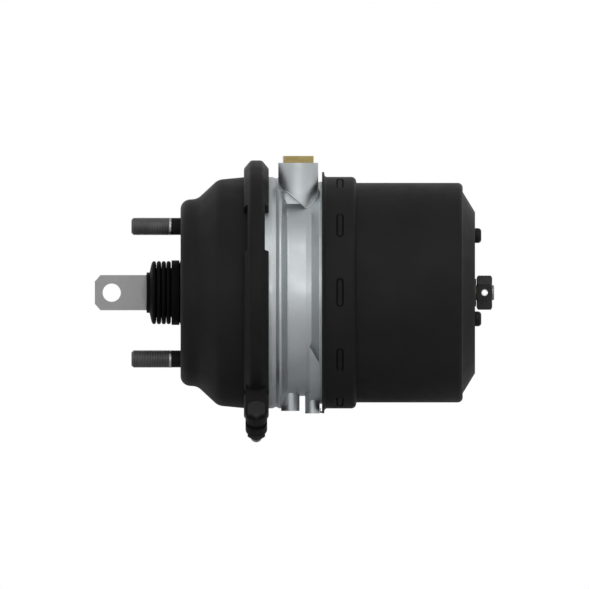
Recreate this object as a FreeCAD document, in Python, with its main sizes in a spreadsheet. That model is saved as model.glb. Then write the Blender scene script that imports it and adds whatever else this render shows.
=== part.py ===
import FreeCAD, Part
import math
import os
import re
import Sketcher

# Spring brake actuator, in millimetres.
# The origin is the centre of the mounting face, on the axis of the actuator.
# +X runs from the push rod towards the release screw and +Z points up, the way the air ports face.
# The push rod is drawn back and the power spring is compressed: the brake is released.

DIMENSIONS = {
    # sheet metal and clearances
    "sheet": 3.0,
    "seat_gap": 0.3,
    "running_gap": 0.3,
    "hole_clearance": 0.1,
    "stroke": 64.0,
    # mounting studs and the plate behind them
    "stud_spacing": 120.65,
    "stud_radius": 8.0,
    "stud_reach": 44.7,
    "stud_chamfer": 3.0,
    "stud_press_fit": 0.3,
    "stud_head_radius": 12.0,
    "stud_head_height": 5.0,
    "backing_thickness": 5.0,
    "backing_radius": 47.5,
    "backing_ear_margin": 2.0,
    # service chamber, a cup of pressed steel
    "neck_radius": 25.5,
    "neck_length": 7.5,
    "neck_bend": 4.3,
    "face_margin": 12.0,
    "face_bend": 9.0,
    "cone_start": 15.5,
    "cone_foot_taper": 1.1,
    "cone_angle": 43.0,
    "cone_top_step": 2.6,
    "cone_bend": 12.0,
    "flange_radius": 111.4,
    "flange_width": 5.9,
    "breather_radius": 4.0,
    "breather_circle": 66.0,
    "breather_count": 4,
    # push rod, its eye and its plate
    "eye_reach": 78.0,
    "eye_width": 32.0,
    "eye_thickness": 12.0,
    "eye_chamfer_along": 5.1,
    "eye_chamfer_across": 5.8,
    "eye_hole_radius": 8.25,
    "eye_hole_margin": 15.35,
    "eye_collar_radius": 16.3,
    "eye_collar_length": 15.5,
    "eye_collar_back": 16.0,
    "rod_radius": 11.0,
    "spigot_radius": 8.0,
    "spigot_length": 10.0,
    "plate_margin": 4.0,
    "plate_thickness": 4.0,
    "plate_rounding": 1.5,
    # boot
    "boot_wall": 2.15,
    "boot_collar_setback": 0.6,
    "boot_collar_length": 2.7,
    "boot_bore_gap": 2.9,
    "boot_groove_wall": 1.8,
    "boot_fold_height": 7.75,
    "boot_first_fold": 4.1,
    "boot_fold_pitch": 4.43,
    "boot_fold_count": 4,
    "boot_fold_crown": 0.9,
    "boot_fold_shoulder": 1.8,
    "boot_base_wall": 3.95,
    "boot_slit": 0.4,
    # clamp band with its bolt
    "band_front": 57.7,
    "band_width": 22.7,
    "band_crown_gap": 5.6,
    "band_slope": 50.0,
    "band_wall": 3.5,
    "band_bend": 4.0,
    "band_gap": 6.0,
    "relief_angle": 58.5,
    "relief_spread_angle": 24.0,
    "lug_angle": 37.0,
    "lug_width": 19.8,
    "lug_thickness": 9.3,
    "lug_rounding": 8.5,
    "clamp_bolt_height": 24.5,
    "clamp_bolt_radius": 5.0,
    "clamp_bolt_clearance": 0.5,
    "clamp_bolt_tip": 28.7,
    "clamp_flats": 16.0,
    "clamp_head_height": 6.4,
    "clamp_nut_height": 8.0,
    # service diaphragm
    "bead_width": 10.4,
    "diaphragm_thickness": 4.0,
    "diaphragm_rise": 1.4,
    "diaphragm_flat_margin": 3.5,
    # centre body, a casting
    "body_flange": 5.0,
    "body_rim_step": 0.1,
    "body_rim_length": 3.2,
    "body_notch_depth": 1.4,
    "body_notch_front": 3.4,
    "body_notch_back": 3.0,
    "body_ridge_length": 2.0,
    "waist_slope_length": 5.0,
    "waist_length": 17.3,
    "waist_depth": 2.9,
    "step_length": 4.9,
    "step_depth": 6.1,
    "shoulder_slope_length": 7.4,
    "shoulder_step": 1.0,
    "shoulder_length": 4.6,
    "register_length": 24.8,
    "register_clearance": 0.25,
    "register_wall": 5.2,
    "body_bend": 2.0,
    "dish_depth": 16.1,
    "dish_lip": 3.4,
    "dish_flat_radius": 67.5,
    "web_depth": 23.7,
    "web_thickness": 8.0,
    "cavity_step": 13.0,
    "cavity_flare_setback": 2.2,
    "hub_wall": 9.0,
    "coring_step": 14.0,
    "rib_thickness": 6.0,
    "rib_overlap": 1.0,
    "rib_count": 10,
    "dent_groove_depth": 2.4,
    "dent_groove_margin": 1.1,
    "pad_setback": 1.6,
    "pad_margin": 2.6,
    "pad_drop": 0.25,
    "pad_top": 49.0,
    "pad_top_back": 68.0,
    "pad_offset": 20.0,
    # air ports
    "boss_setback": 10.2,
    "boss_spacing": 76.0,
    "boss_radius": 18.2,
    "boss_height": 24.1,
    "boss_depth": 34.1,
    "boss_undercut_top": 2.1,
    "boss_undercut_tip": 16.1,
    "boss_undercut_length": 16.8,
    "boss_undercut_depth": 8.0,
    "adapter_flats": 27.0,
    "adapter_height": 6.3,
    "adapter_angle": 4.0,
    "adapter_spigot_radius": 10.0,
    "adapter_spigot_length": 14.2,
    "port_radius": 7.25,
    "passage_radius": 6.0,
    "cross_passage_radius": 4.0,
    "cross_passage_drop": 26.1,
    # stubs under the body
    "front_stub_setback": 3.0,
    "front_stub_offset": 14.0,
    "front_stub_radius": 8.4,
    "front_stub_height": 13.6,
    "rear_stub_setback": 5.8,
    "rear_stub_offset": 18.0,
    "rear_stub_radius": 6.65,
    "rear_stub_height": 15.9,
    # spring chamber, a drawn steel cup
    "barrel_radius": 100.0,
    "barrel_length": 97.0,
    "barrel_foot_bend": 1.5,
    "barrel_bend": 4.6,
    "skirt_step": 5.45,
    "skirt_gap": 1.0,
    "skirt_bend": 4.5,
    "rim_lap": 2.4,
    "rim_thickness": 2.2,
    "rim_width": 4.45,
    "rim_edge_rounding": 0.8,
    "rim_bend": 2.5,
    "end_shoulder": 8.3,
    "end_dish_depth": 11.2,
    "end_dish_angle": 31.3,
    "end_hole_radius": 10.0,
    "dent_setback": 14.0,
    "dent_width": 6.3,
    "dent_length": 26.2,
    "dent_depth": 1.25,
    "dent_count": 10,
    "lock_tab_width": 8.0,
    "lock_tab_offset": 8.0,
    "lock_tab_reach": 1.8,
    "lock_tab_height": 4.5,
    "lock_tab_leaf": 0.6,
    "lock_tab_foot": 1.6,
    "seal_setback": 2.8,
    "seal_width": 3.6,
    "seal_depth": 2.6,
    # breather plugs in the end wall
    "vent_inset": 16.0,
    "vent_first_angle": 24.8,
    "vent_second_angle": 114.6,
    "vent_radius": 6.8,
    "vent_height": 5.7,
    "vent_rounding": 3.2,
    "vent_stem_radius": 4.0,
    "vent_stem_length": 6.0,
    # release screw
    "screw_radius": 7.0,
    "screw_overhang": 6.0,
    "screw_chamfer": 1.5,
    "screw_clearance": 0.3,
    "screw_tip": 1.8,
    "washer_radius": 12.6,
    "washer_thickness": 1.1,
    "release_flats": 27.0,
    "release_height": 14.2,
    "release_chamfer": 1.2,
    "pin_radius": 3.0,
    "pin_wall": 0.75,
    "pin_slot": 1.2,
    "pin_setback": 7.3,
    "nut_length": 13.0,
    "nut_stop_gap": 1.0,
    "nut_key_width": 5.0,
    "nut_key_height": 1.6,
    # piston, its tube and its spring
    "tube_radius": 17.0,
    "tube_wall": 4.0,
    "tube_cap_thickness": 3.4,
    "tube_cap_spigot": 7.0,
    "bush_thickness": 3.0,
    "tube_seal_width": 6.0,
    "piston_clearance": 0.5,
    "piston_wall": 8.0,
    "piston_nose_step": 11.5,
    "piston_nose_length": 14.0,
    "piston_nose_bend": 6.0,
    "piston_nose_taper": 2.0,
    "piston_skirt_step": 5.0,
    "piston_skirt_wall": 4.0,
    "piston_land_gap": 1.0,
    "piston_land_length": 14.0,
    "piston_hub_radius": 26.0,
    "piston_hub_height": 16.0,
    "piston_hub_floor": 6.0,
    "guide_setback": 1.5,
    "guide_width": 4.0,
    "guide_depth": 2.0,
    "piston_seal_setback": 7.5,
    "piston_seal_width": 4.5,
    "piston_seal_depth": 4.5,
    "power_wire_radius": 7.5,
    "power_spring_inset": 7.3,
    "power_spring_turns": 3.7,
    "spring_seat_margin": 5.0,
    # return spring of the push rod
    "return_wire_radius": 2.5,
    "return_front_margin": 5.5,
    "return_back_radius": 30.0,
    "return_spring_turns": 4.5,
}

# Sizes and places that follow from the driving dimensions
DERIVED = {
    "stud_offset": "stud_spacing / 2",
    "stud_press_radius": "stud_radius + stud_press_fit",
    "backing_ear_radius": "stud_head_radius + backing_ear_margin",
    "backing_back": "sheet + backing_thickness",
    "face_radius": "stud_offset + stud_head_radius + face_margin",
    "cone_foot_radius": "face_radius + cone_foot_taper",
    "mouth_radius": "flange_radius - flange_width",
    "cone_top_radius": "mouth_radius - cone_top_step",
    "cone_end": "cone_start + (cone_top_radius - cone_foot_radius) / tan(cone_angle)",
    "cone_shift": "sheet * tan(cone_angle / 2)",
    "eye_hole_reach": "eye_reach - eye_hole_margin",
    "eye_collar_front": "eye_collar_back + eye_collar_length",
    "boot_collar_front": "eye_collar_front - boot_collar_setback",
    "boot_collar_back": "boot_collar_front - boot_collar_length",
    "boot_collar_radius": "eye_collar_radius + boot_wall",
    "boot_bore_radius": "eye_collar_radius + boot_bore_gap",
    "boot_groove_radius": "boot_bore_radius + boot_groove_wall",
    "boot_fold_radius": "boot_groove_radius + boot_fold_height",
    "boot_base_radius": "neck_radius + boot_base_wall",
    "band_back": "band_front + band_width",
    "band_middle": "band_front + band_width / 2",
    "band_radius": "flange_radius + band_crown_gap + band_wall",
    "band_top_shift": "band_wall * tan(band_slope / 2)",
    "band_flank_shift": "band_wall * tan((90 - band_slope) / 2)",
    "band_flank_radius": "flange_radius + seat_gap + band_flank_shift",
    "band_shoulder": "(band_radius - band_flank_radius) / tan(band_slope)",
    "band_bore": "mouth_radius + seat_gap",
    "flange_front": "band_front + band_wall",
    "lug_reach": "band_gap / 2 + lug_thickness",
    "clamp_bolt_circle": "band_radius + clamp_bolt_height",
    "body_front": "band_back - band_wall - body_flange",
    "body_rim_radius": "mouth_radius - body_rim_step",
    "body_rim_back": "band_back + body_rim_length",
    "body_notch_place": "body_rim_back + body_notch_front",
    "body_notch_radius": "body_rim_radius - body_notch_depth",
    "body_ridge_front": "body_notch_place + body_notch_back",
    "body_ridge_back": "body_ridge_front + body_ridge_length",
    "waist_front": "body_ridge_back + waist_slope_length",
    "waist_back": "waist_front + waist_length",
    "step_place": "waist_back + step_length",
    "shoulder_place": "step_place + shoulder_slope_length",
    "register_front": "shoulder_place + shoulder_length",
    "register_end": "register_front + register_length",
    "skirt_radius": "barrel_radius + skirt_step",
    "register_radius": "skirt_radius - sheet - register_clearance",
    "register_bore": "register_radius - register_wall",
    "shoulder_radius": "register_radius - shoulder_step",
    "step_radius": "shoulder_radius - step_depth",
    "waist_radius": "register_bore - waist_depth",
    "dish_radius": "body_rim_radius - dish_lip",
    "web_front": "body_front + dish_depth",
    "web_back": "web_front + web_depth",
    "cavity_radius": "register_bore - cavity_step",
    "cavity_flare_end": "register_front - cavity_flare_setback",
    "hub_bore": "tube_radius + bush_thickness",
    "hub_radius": "hub_bore + hub_wall",
    "coring_radius": "cavity_radius - coring_step",
    "bead_front": "flange_front + sheet",
    "bead_inner_radius": "flange_radius - bead_width",
    "diaphragm_flat_radius": "dish_flat_radius - diaphragm_flat_margin",
    "diaphragm_back": "web_front - diaphragm_rise - seat_gap",
    "diaphragm_front": "diaphragm_back - diaphragm_thickness",
    "plate_radius": "diaphragm_flat_radius - plate_margin",
    "plate_back": "diaphragm_front - seat_gap",
    "plate_front": "plate_back - plate_thickness",
    "pad_front": "step_place - pad_setback",
    "pad_back": "register_front - pad_margin",
    "pad_radius": "shoulder_radius - pad_drop",
    "boss_place": "waist_front + boss_setback",
    "boss_offset": "boss_spacing / 2",
    "boss_top": "waist_radius + boss_height",
    "boss_foot": "waist_radius - boss_depth",
    "cross_passage_height": "waist_radius - cross_passage_drop",
    "front_stub_place": "waist_front + front_stub_setback",
    "front_stub_bottom": "waist_radius + front_stub_height",
    "rear_stub_place": "waist_back + rear_stub_setback",
    "rear_stub_bottom": "waist_radius + rear_stub_height",
    "passage_depth": "boss_top - cross_passage_height + cross_passage_radius / 2",
    "rim_front": "register_front - rim_lap",
    "rim_radius": "skirt_radius + rim_width",
    "skirt_end": "register_end + skirt_gap + sheet",
    "barrel_end": "skirt_end + barrel_length",
    "end_dish_radius": "barrel_radius - end_shoulder",
    "end_face": "barrel_end + end_dish_depth",
    "end_wall": "end_face - sheet",
    "end_flat_radius": "end_dish_radius - end_dish_depth / tan(end_dish_angle)",
    "end_shift": "sheet * tan(end_dish_angle / 2)",
    "dent_place": "register_front + dent_setback",
    "dent_groove_half": "dent_width / 2 + dent_groove_margin",
    "dent_rounding": "dent_width * 0.48",
    "seal_place": "register_front + seal_setback",
    "vent_circle": "end_flat_radius - vent_inset",
    "seat_front": "end_wall - sheet",
    "hex_front": "end_face + washer_thickness + seat_gap",
    "hex_back": "hex_front + release_height",
    "pin_place": "hex_front + pin_setback",
    "screw_hole": "screw_radius + screw_clearance",
    "tube_bore": "tube_radius - tube_wall",
    "cap_front": "diaphragm_back + seat_gap",
    "tube_front": "cap_front + tube_cap_thickness",
    "piston_front": "web_back + stroke + seat_gap",
    "piston_floor": "piston_front + piston_wall",
    "piston_hub_back": "piston_front + piston_hub_height",
    "tube_back": "piston_hub_back - piston_hub_floor",
    "piston_land_front": "register_end + stroke + piston_land_gap",
    "piston_back": "piston_land_front + piston_land_length",
    "ring_radius": "barrel_radius - sheet - running_gap",
    "piston_land_radius": "barrel_radius - sheet - piston_clearance",
    "piston_skirt_radius": "piston_land_radius - piston_skirt_step",
    "piston_nose_radius": "piston_skirt_radius - piston_nose_step",
    "guide_place": "piston_land_front + guide_setback",
    "piston_seal_place": "piston_land_front + piston_seal_setback",
    "nut_front": "tube_back - stroke - nut_length - nut_stop_gap",
    "screw_front": "nut_front - screw_overhang",
    "power_spring_radius": "end_flat_radius - power_spring_inset",
    "spring_seat_inner": "vent_circle + vent_stem_radius + seat_gap",
    "spring_seat_outer": "power_spring_radius + spring_seat_margin",
    "return_front_radius": "backing_radius - return_front_margin",
}

doc = FreeCAD.newDocument("SpringBrakeActuator")
sheet = doc.addObject("Spreadsheet::Sheet", "Dims")
CELLS = {alias: str(number) for alias, number in DIMENSIONS.items()}
CELLS.update({alias: f"={formula}" for alias, formula in DERIVED.items()})
for row, (alias, content) in enumerate(CELLS.items(), start=1):
    sheet.set(f"A{row}", alias)
    sheet.set(f"B{row}", content)
    sheet.setAlias(f"B{row}", alias)
doc.recompute()

bodies = []


def cells(text):
    """Write each dimension name of an expression as a cell of the sheet."""
    return re.sub(r"[a-z_]\w*", lambda word: f"Dims.{word[0]}" if word[0] in CELLS else word[0], str(text))


def size(text):
    """Work out an expression of dimension names."""
    number = sheet.evalExpression(cells(text))
    return float(getattr(number, "Value", number))


def new_body(node):
    body = doc.addObject("PartDesign::Body", node)
    body.Label = node
    bodies.append(body)
    return body


def origin_part(body, role):
    return next(part for part in body.Origin.OriginFeatures if part.Role == role)


def new_sketch(body, name, plane, shift, turn):
    """Attach a sketch to a plane of the body, shifted, and turned about the actuator's axis."""
    sketch = body.newObject("Sketcher::SketchObject", name)
    sketch.AttachmentSupport = [(origin_part(body, plane), "")]
    sketch.MapMode = "FlatFace"
    for axis, place in zip("xyz", shift):
        sketch.setExpression(f"AttachmentOffset.Base.{axis}", cells(place))
    if turn != "0":
        sketch.AttachmentOffset = FreeCAD.Placement(
            FreeCAD.Vector(), FreeCAD.Rotation(FreeCAD.Vector(1, 0, 0), size(turn)))
        sketch.setExpression("AttachmentOffset.Rotation.Angle", cells(turn))
    return sketch


def pin_point(element, end, along, across):
    """Two distances that hold a point of a sketch, each with its expression."""
    return [
        (Sketcher.Constraint("DistanceX", -1, 1, element, end, size(along)), along),
        (Sketcher.Constraint("DistanceY", -1, 1, element, end, size(across)), across),
    ]


def add_rules(sketch, fixed, bound):
    """Add the constraints and bind the ones that hold a size to the sheet."""
    first = sketch.ConstraintCount
    sketch.addConstraint(fixed + [rule for rule, text in bound])
    for index, (rule, text) in enumerate(bound, start=first + len(fixed)):
        sketch.setExpression(f"Constraints[{index}]", cells(text))


def draw_circle(sketch, along, across, radius):
    centre = FreeCAD.Vector(size(along), size(across), 0)
    circle = sketch.addGeometry(Part.Circle(centre, FreeCAD.Vector(0, 0, 1), size(radius)), False)
    bound = pin_point(circle, 3, along, across)
    bound.append((Sketcher.Constraint("Radius", circle, size(radius)), radius))
    add_rules(sketch, [], bound)


def draw_outline(sketch, corners):
    """Draw a closed outline. A corner is two expressions, and a third where it is rounded."""
    spots = [FreeCAD.Vector(size(corner[0]), size(corner[1]), 0) for corner in corners]
    before = [(spots[i - 1] - spot).normalize() for i, spot in enumerate(spots)]
    after = [-before[(i + 1) % len(spots)] for i in range(len(spots))]
    halves = [one.getAngle(other) / 2 for one, other in zip(before, after)]
    radii = [size(corner[2]) if len(corner) > 2 else 0.0 for corner in corners]
    reaches = [radius / math.tan(half) for radius, half in zip(radii, halves)]
    entries = [spot + way * reach for spot, way, reach in zip(spots, before, reaches)]
    exits = [spot + way * reach for spot, way, reach in zip(spots, after, reaches)]
    lines = [
        sketch.addGeometry(Part.LineSegment(exits[i], entries[(i + 1) % len(spots)]), False)
        for i in range(len(spots))
    ]
    fixed = []
    bound = []
    for i, corner in enumerate(corners):
        if len(corner) == 2:
            fixed.append(Sketcher.Constraint("Coincident", lines[i - 1], 2, lines[i], 1))
            bound += pin_point(lines[i], 1, corner[0], corner[1])
            continue
        centre = spots[i] + (before[i] + after[i]).normalize() * (radii[i] / math.sin(halves[i]))
        turns_left = before[i].cross(after[i]).z < 0
        ends = (entries[i], exits[i]) if turns_left else (exits[i], entries[i])
        first, last = (1, 2) if turns_left else (2, 1)
        angles = [math.atan2(end.y - centre.y, end.x - centre.x) for end in ends]
        if angles[1] < angles[0]:
            angles[1] += 2 * math.pi
        circle = Part.Circle(centre, FreeCAD.Vector(0, 0, 1), radii[i])
        arc = sketch.addGeometry(Part.ArcOfCircle(circle, angles[0], angles[1]), False)
        corner_point = sketch.addGeometry(Part.Point(spots[i]), True)
        fixed += [
            Sketcher.Constraint("Tangent", lines[i - 1], 2, arc, first),
            Sketcher.Constraint("Tangent", arc, last, lines[i], 1),
            Sketcher.Constraint("PointOnObject", corner_point, 1, lines[i - 1]),
            Sketcher.Constraint("PointOnObject", corner_point, 1, lines[i]),
        ]
        bound.append((Sketcher.Constraint("Radius", arc, radii[i]), corner[2]))
        bound += pin_point(corner_point, 1, corner[0], corner[1])
    add_rules(sketch, fixed, bound)


def turn(body, name, corners, cut=False, plane="XY_Plane", axis="H_Axis", shift=(0, 0, 0),
         angle="360", about="0"):
    """Turn an outline about an axis of its sketch, to add to the body or to cut it."""
    sketch = new_sketch(body, f"{name}_outline", plane, shift, about)
    draw_outline(sketch, corners)
    feature = body.newObject("PartDesign::Groove" if cut else "PartDesign::Revolution", name)
    feature.Profile = sketch
    feature.ReferenceAxis = (sketch, [axis])
    feature.Midplane = True
    feature.setExpression("Angle", cells(angle))
    return feature


def push(body, name, shapes, length, plane="XY_Plane", shift=(0, 0, 0), about="0",
         cut=False, midplane=False, backwards=False):
    """Push outlines, given as corner lists or circles, out of a plane or into the body."""
    sketch = new_sketch(body, f"{name}_outline", plane, shift, about)
    for shape in shapes:
        if isinstance(shape, tuple):
            draw_circle(sketch, *shape)
        else:
            draw_outline(sketch, shape)
    feature = body.newObject("PartDesign::Pocket" if cut else "PartDesign::Pad", name)
    feature.Profile = sketch
    feature.Midplane = midplane
    feature.Reversed = backwards
    feature.setExpression("Length", cells(length))
    return feature


def repeat(body, name, features, count):
    """Repeat features evenly about the actuator's axis."""
    pattern = body.newObject("PartDesign::PolarPattern", name)
    pattern.Originals = features
    pattern.Axis = (origin_part(body, "X_Axis"), [""])
    pattern.Angle = 360
    pattern.setExpression("Occurrences", cells(count))
    body.Tip = pattern
    return pattern


def coil(body, place, radius, wire, pitch, turns, growth):
    """Wind a round wire about the actuator's axis."""
    sketch = new_sketch(body, "wire_outline", "XY_Plane", (0, 0, 0), "0")
    draw_circle(sketch, place, radius, wire)
    doc.recompute()
    helix = body.newObject("PartDesign::AdditiveHelix", "coil")
    helix.Profile = sketch
    helix.ReferenceAxis = (sketch, ["H_Axis"])
    helix.Mode = "height-turns-growth"
    helix.setExpression("Height", cells(f"({pitch}) * ({turns})"))
    helix.setExpression("Turns", cells(turns))
    helix.setExpression("Growth", cells(growth))


def hexagon(along, across, flats, first_corner):
    """Corners of a hexagon across its flats. The first corner lies at the given angle."""
    reach = f"{flats} / 2 / cos(30)"
    angles = [f"({first_corner} + {60 * i})" for i in range(6)]
    return [(f"{along} + {reach} * cos({angle})", f"{across} + {reach} * sin({angle})") for angle in angles]


def box(along_from, along_to, across_from, across_to):
    return [(along_from, across_from), (along_to, across_from), (along_to, across_to), (along_from, across_to)]


def service_housing():
    """Pressed cup with a drawn neck, a cone and a flange that the clamp band grips."""
    body = new_body("service_housing")
    turn(body, "cup", [
        ("-neck_length", "neck_radius - sheet"),
        ("-neck_length", "neck_radius"),
        ("0", "neck_radius", "neck_bend"),
        ("0", "face_radius", "face_bend"),
        ("cone_start", "cone_foot_radius", "cone_bend"),
        ("cone_end", "cone_top_radius", "cone_bend"),
        ("flange_front", "mouth_radius"),
        ("flange_front", "flange_radius"),
        ("flange_front + sheet", "flange_radius"),
        ("flange_front + sheet", "mouth_radius - sheet", "sheet"),
        ("cone_end + cone_shift", "cone_top_radius - sheet", "cone_bend - sheet"),
        ("cone_start + cone_shift", "cone_foot_radius - sheet", "cone_bend + sheet"),
        ("sheet", "face_radius - sheet", "face_bend - sheet"),
        ("sheet", "neck_radius - sheet", "neck_bend + sheet"),
    ])
    holes = [("0", sign + "stud_offset", "stud_press_radius + hole_clearance") for sign in ("", "-")]
    push(body, "stud_holes", holes, "3 * sheet", plane="YZ_Plane", cut=True, midplane=True)
    breather = push(body, "breather", [
        ("breather_circle * cos(45)", "breather_circle * sin(45)", "breather_radius"),
    ], "3 * sheet", plane="YZ_Plane", cut=True, midplane=True)
    repeat(body, "breathers", [breather], "breather_count")


def stud_backing_plate():
    """Round plate with two ears behind the front wall, under the stud heads."""
    body = new_body("stud_backing_plate")
    push(body, "disc", [("0", "0", "backing_radius")], "backing_thickness",
         plane="YZ_Plane", shift=(0, 0, "sheet"))
    push(body, "ears", [[
        ("-backing_ear_radius", "-stud_offset - backing_ear_radius", "backing_ear_radius * 0.9"),
        ("backing_ear_radius", "-stud_offset - backing_ear_radius", "backing_ear_radius * 0.9"),
        ("backing_ear_radius", "stud_offset + backing_ear_radius", "backing_ear_radius * 0.9"),
        ("-backing_ear_radius", "stud_offset + backing_ear_radius", "backing_ear_radius * 0.9"),
    ]], "backing_thickness", plane="YZ_Plane", shift=(0, 0, "sheet"))
    push(body, "holes", [
        ("0", "0", "neck_radius + neck_bend"),
        ("0", "stud_offset", "stud_press_radius + hole_clearance"),
        ("0", "-stud_offset", "stud_press_radius + hole_clearance"),
    ], "2 * backing_back", plane="YZ_Plane", cut=True, midplane=True, shift=(0, 0, "backing_back"))


def mounting_studs():
    """Two studs pressed through the front wall, heads inside."""
    body = new_body("mounting_studs")
    stud = turn(body, "stud", [
        ("-stud_reach", "0"),
        ("-stud_reach", "stud_radius - stud_chamfer * 0.6"),
        ("-stud_reach + stud_chamfer", "stud_radius"),
        ("0", "stud_radius"),
        ("0", "stud_press_radius"),
        ("backing_back", "stud_press_radius"),
        ("backing_back", "stud_head_radius"),
        ("backing_back + stud_head_height", "stud_head_radius"),
        ("backing_back + stud_head_height", "0"),
    ], shift=(0, "stud_offset", 0), plane="XZ_Plane")
    repeat(body, "studs", [stud], "2")


def boot():
    """Rubber bellows between the eye's root and the neck, folded up tight."""
    body = new_body("boot")
    corners = [
        ("-boot_collar_front", "eye_collar_radius + seat_gap"),
        ("-boot_collar_front", "boot_collar_radius"),
        ("-boot_collar_back", "boot_collar_radius"),
    ]
    for fold in range(DIMENSIONS["boot_fold_count"]):
        crown = f"(-boot_collar_back + boot_first_fold + {fold} * boot_fold_pitch)"
        corners += [
            (f"{crown} - boot_fold_shoulder", "boot_fold_radius - 2 * boot_fold_crown"),
            (f"{crown} - boot_fold_crown", "boot_fold_radius"),
            (f"{crown} + boot_fold_crown", "boot_fold_radius"),
            (f"{crown} + boot_fold_shoulder", "boot_fold_radius - 2 * boot_fold_crown"),
            (f"{crown} + boot_fold_pitch / 2 - boot_slit / 2", "boot_groove_radius"),
        ]
        if fold < DIMENSIONS["boot_fold_count"] - 1:
            corners.append((f"{crown} + boot_fold_pitch / 2 + boot_slit / 2", "boot_groove_radius"))
    base = f"({crown} + boot_fold_pitch / 2 + boot_slit)"
    corners += [
        (base, "boot_groove_radius"),
        (base, "boot_base_radius"),
        ("-seat_gap", "boot_base_radius"),
        ("-neck_bend - seat_gap", "neck_radius + seat_gap"),
        ("-neck_length - seat_gap", "neck_radius + seat_gap"),
        ("-neck_length - seat_gap", "boot_bore_radius"),
        ("-boot_collar_back + boot_wall", "boot_bore_radius"),
        ("-boot_collar_back + boot_wall", "eye_collar_radius + seat_gap"),
    ]
    turn(body, "bellows", corners)


def push_rod_eye():
    """Flat forged eye with a round root that takes the push rod's spigot."""
    body = new_body("push_rod_eye")
    push(body, "eye", [[
        ("-eye_reach + eye_chamfer_along", "-eye_width / 2"),
        ("-boot_collar_front - seat_gap", "-eye_width / 2"),
        ("-boot_collar_front - seat_gap", "eye_width / 2"),
        ("-eye_reach + eye_chamfer_along", "eye_width / 2"),
        ("-eye_reach", "eye_width / 2 - eye_chamfer_across"),
        ("-eye_reach", "-eye_width / 2 + eye_chamfer_across"),
    ]], "eye_thickness", plane="XZ_Plane", midplane=True)
    push(body, "eye_hole", [("-eye_hole_reach", "0", "eye_hole_radius")], "2 * eye_thickness",
         plane="XZ_Plane", cut=True, midplane=True)
    turn(body, "root", [
        ("-eye_collar_front", "0"),
        ("-eye_collar_front", "eye_collar_radius"),
        ("-eye_collar_back", "eye_collar_radius"),
        ("-eye_collar_back", "0"),
    ])
    turn(body, "socket", [
        ("-eye_collar_back - spigot_length - seat_gap", "0"),
        ("-eye_collar_back - spigot_length - seat_gap", "spigot_radius + hole_clearance"),
        ("0", "spigot_radius + hole_clearance"),
        ("0", "0"),
    ], cut=True)


def push_rod():
    """Round rod between the eye and the push plate."""
    body = new_body("push_rod")
    turn(body, "rod", [
        ("-eye_collar_back - spigot_length", "0"),
        ("-eye_collar_back - spigot_length", "spigot_radius"),
        ("-eye_collar_back", "spigot_radius"),
        ("-eye_collar_back", "rod_radius"),
        ("plate_front", "rod_radius"),
        ("plate_front", "spigot_radius"),
        ("plate_back", "spigot_radius"),
        ("plate_back", "0"),
    ])


def push_plate():
    """Steel disc riveted on the push rod, between the return spring and the diaphragm."""
    body = new_body("push_plate")
    turn(body, "disc", [
        ("plate_front", "spigot_radius + hole_clearance"),
        ("plate_front", "plate_radius", "plate_rounding"),
        ("plate_back", "plate_radius", "plate_rounding"),
        ("plate_back", "spigot_radius + hole_clearance"),
    ])


def return_spring():
    """Conical spring that draws the push rod back."""
    body = new_body("return_spring")
    start = "(backing_back + return_wire_radius)"
    travel = f"(plate_front - seat_gap - return_wire_radius - {start})"
    coil(body, start, "return_front_radius", "return_wire_radius",
         f"{travel} / return_spring_turns", "return_spring_turns",
         "(return_back_radius - return_front_radius) / return_spring_turns")


def band_section():
    """Section of the band: two upright flanks, two sloping shoulders and a flat crown."""
    outside = [
        ("band_front", "band_bore"),
        ("band_front", "band_flank_radius", "band_bend"),
        ("band_front + band_shoulder", "band_radius", "band_bend"),
        ("band_back - band_shoulder", "band_radius", "band_bend"),
        ("band_back", "band_flank_radius", "band_bend"),
        ("band_back", "band_bore"),
    ]
    inside = [
        ("band_back - band_wall", "band_bore"),
        ("band_back - band_wall", "band_flank_radius - band_flank_shift"),
        ("band_back - band_shoulder - band_top_shift", "band_radius - band_wall"),
        ("band_front + band_shoulder + band_top_shift", "band_radius - band_wall"),
        ("band_front + band_wall", "band_flank_radius - band_flank_shift"),
        ("band_front + band_wall", "band_bore"),
    ]
    return outside + inside


def clamp_band():
    """One-piece band, drawn with its lugs at the bottom and then turned to their place."""
    body = new_body("clamp_band")
    turn(body, "band", band_section())
    crown_inside = "(band_radius - band_wall + seat_gap)"
    lug_end = "(clamp_bolt_circle + lug_width / 2)"
    push(body, "lugs", [[
        ("band_middle - lug_width / 2", "-band_flank_radius - band_wall / 4"),
        ("band_middle - lug_width / 5", f"-{crown_inside}"),
        ("band_middle + lug_width / 5", f"-{crown_inside}"),
        ("band_middle + lug_width / 2", "-band_flank_radius - band_wall / 4"),
        ("band_middle + lug_width / 2", f"-{lug_end}", "lug_rounding"),
        ("band_middle - lug_width / 2", f"-{lug_end}", "lug_rounding"),
    ]], "2 * lug_reach", plane="XZ_Plane", midplane=True)
    push(body, "gap", [box("band_front - band_wall", "band_back + band_wall", f"-{lug_end} - band_wall",
                           "-mouth_radius + band_wall")],
         "band_gap", plane="XZ_Plane", cut=True, midplane=True)
    push(body, "bolt_hole", [("band_middle", "-clamp_bolt_circle", "clamp_bolt_radius + clamp_bolt_clearance")],
         "3 * lug_reach", plane="XZ_Plane", cut=True, midplane=True)
    for side, sign in (("near", ""), ("far", "-")):
        for flank, start in (("front", "band_front - band_wall"), ("rear", "band_back - band_wall")):
            turn(body, f"{side}_{flank}_relief",
                 box(start, f"{start} + 2 * band_wall", "band_bore - band_wall", "band_radius"),
                 cut=True, angle="relief_spread_angle", about=f"90 + {sign}relief_angle + lug_angle")
    return body


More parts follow.
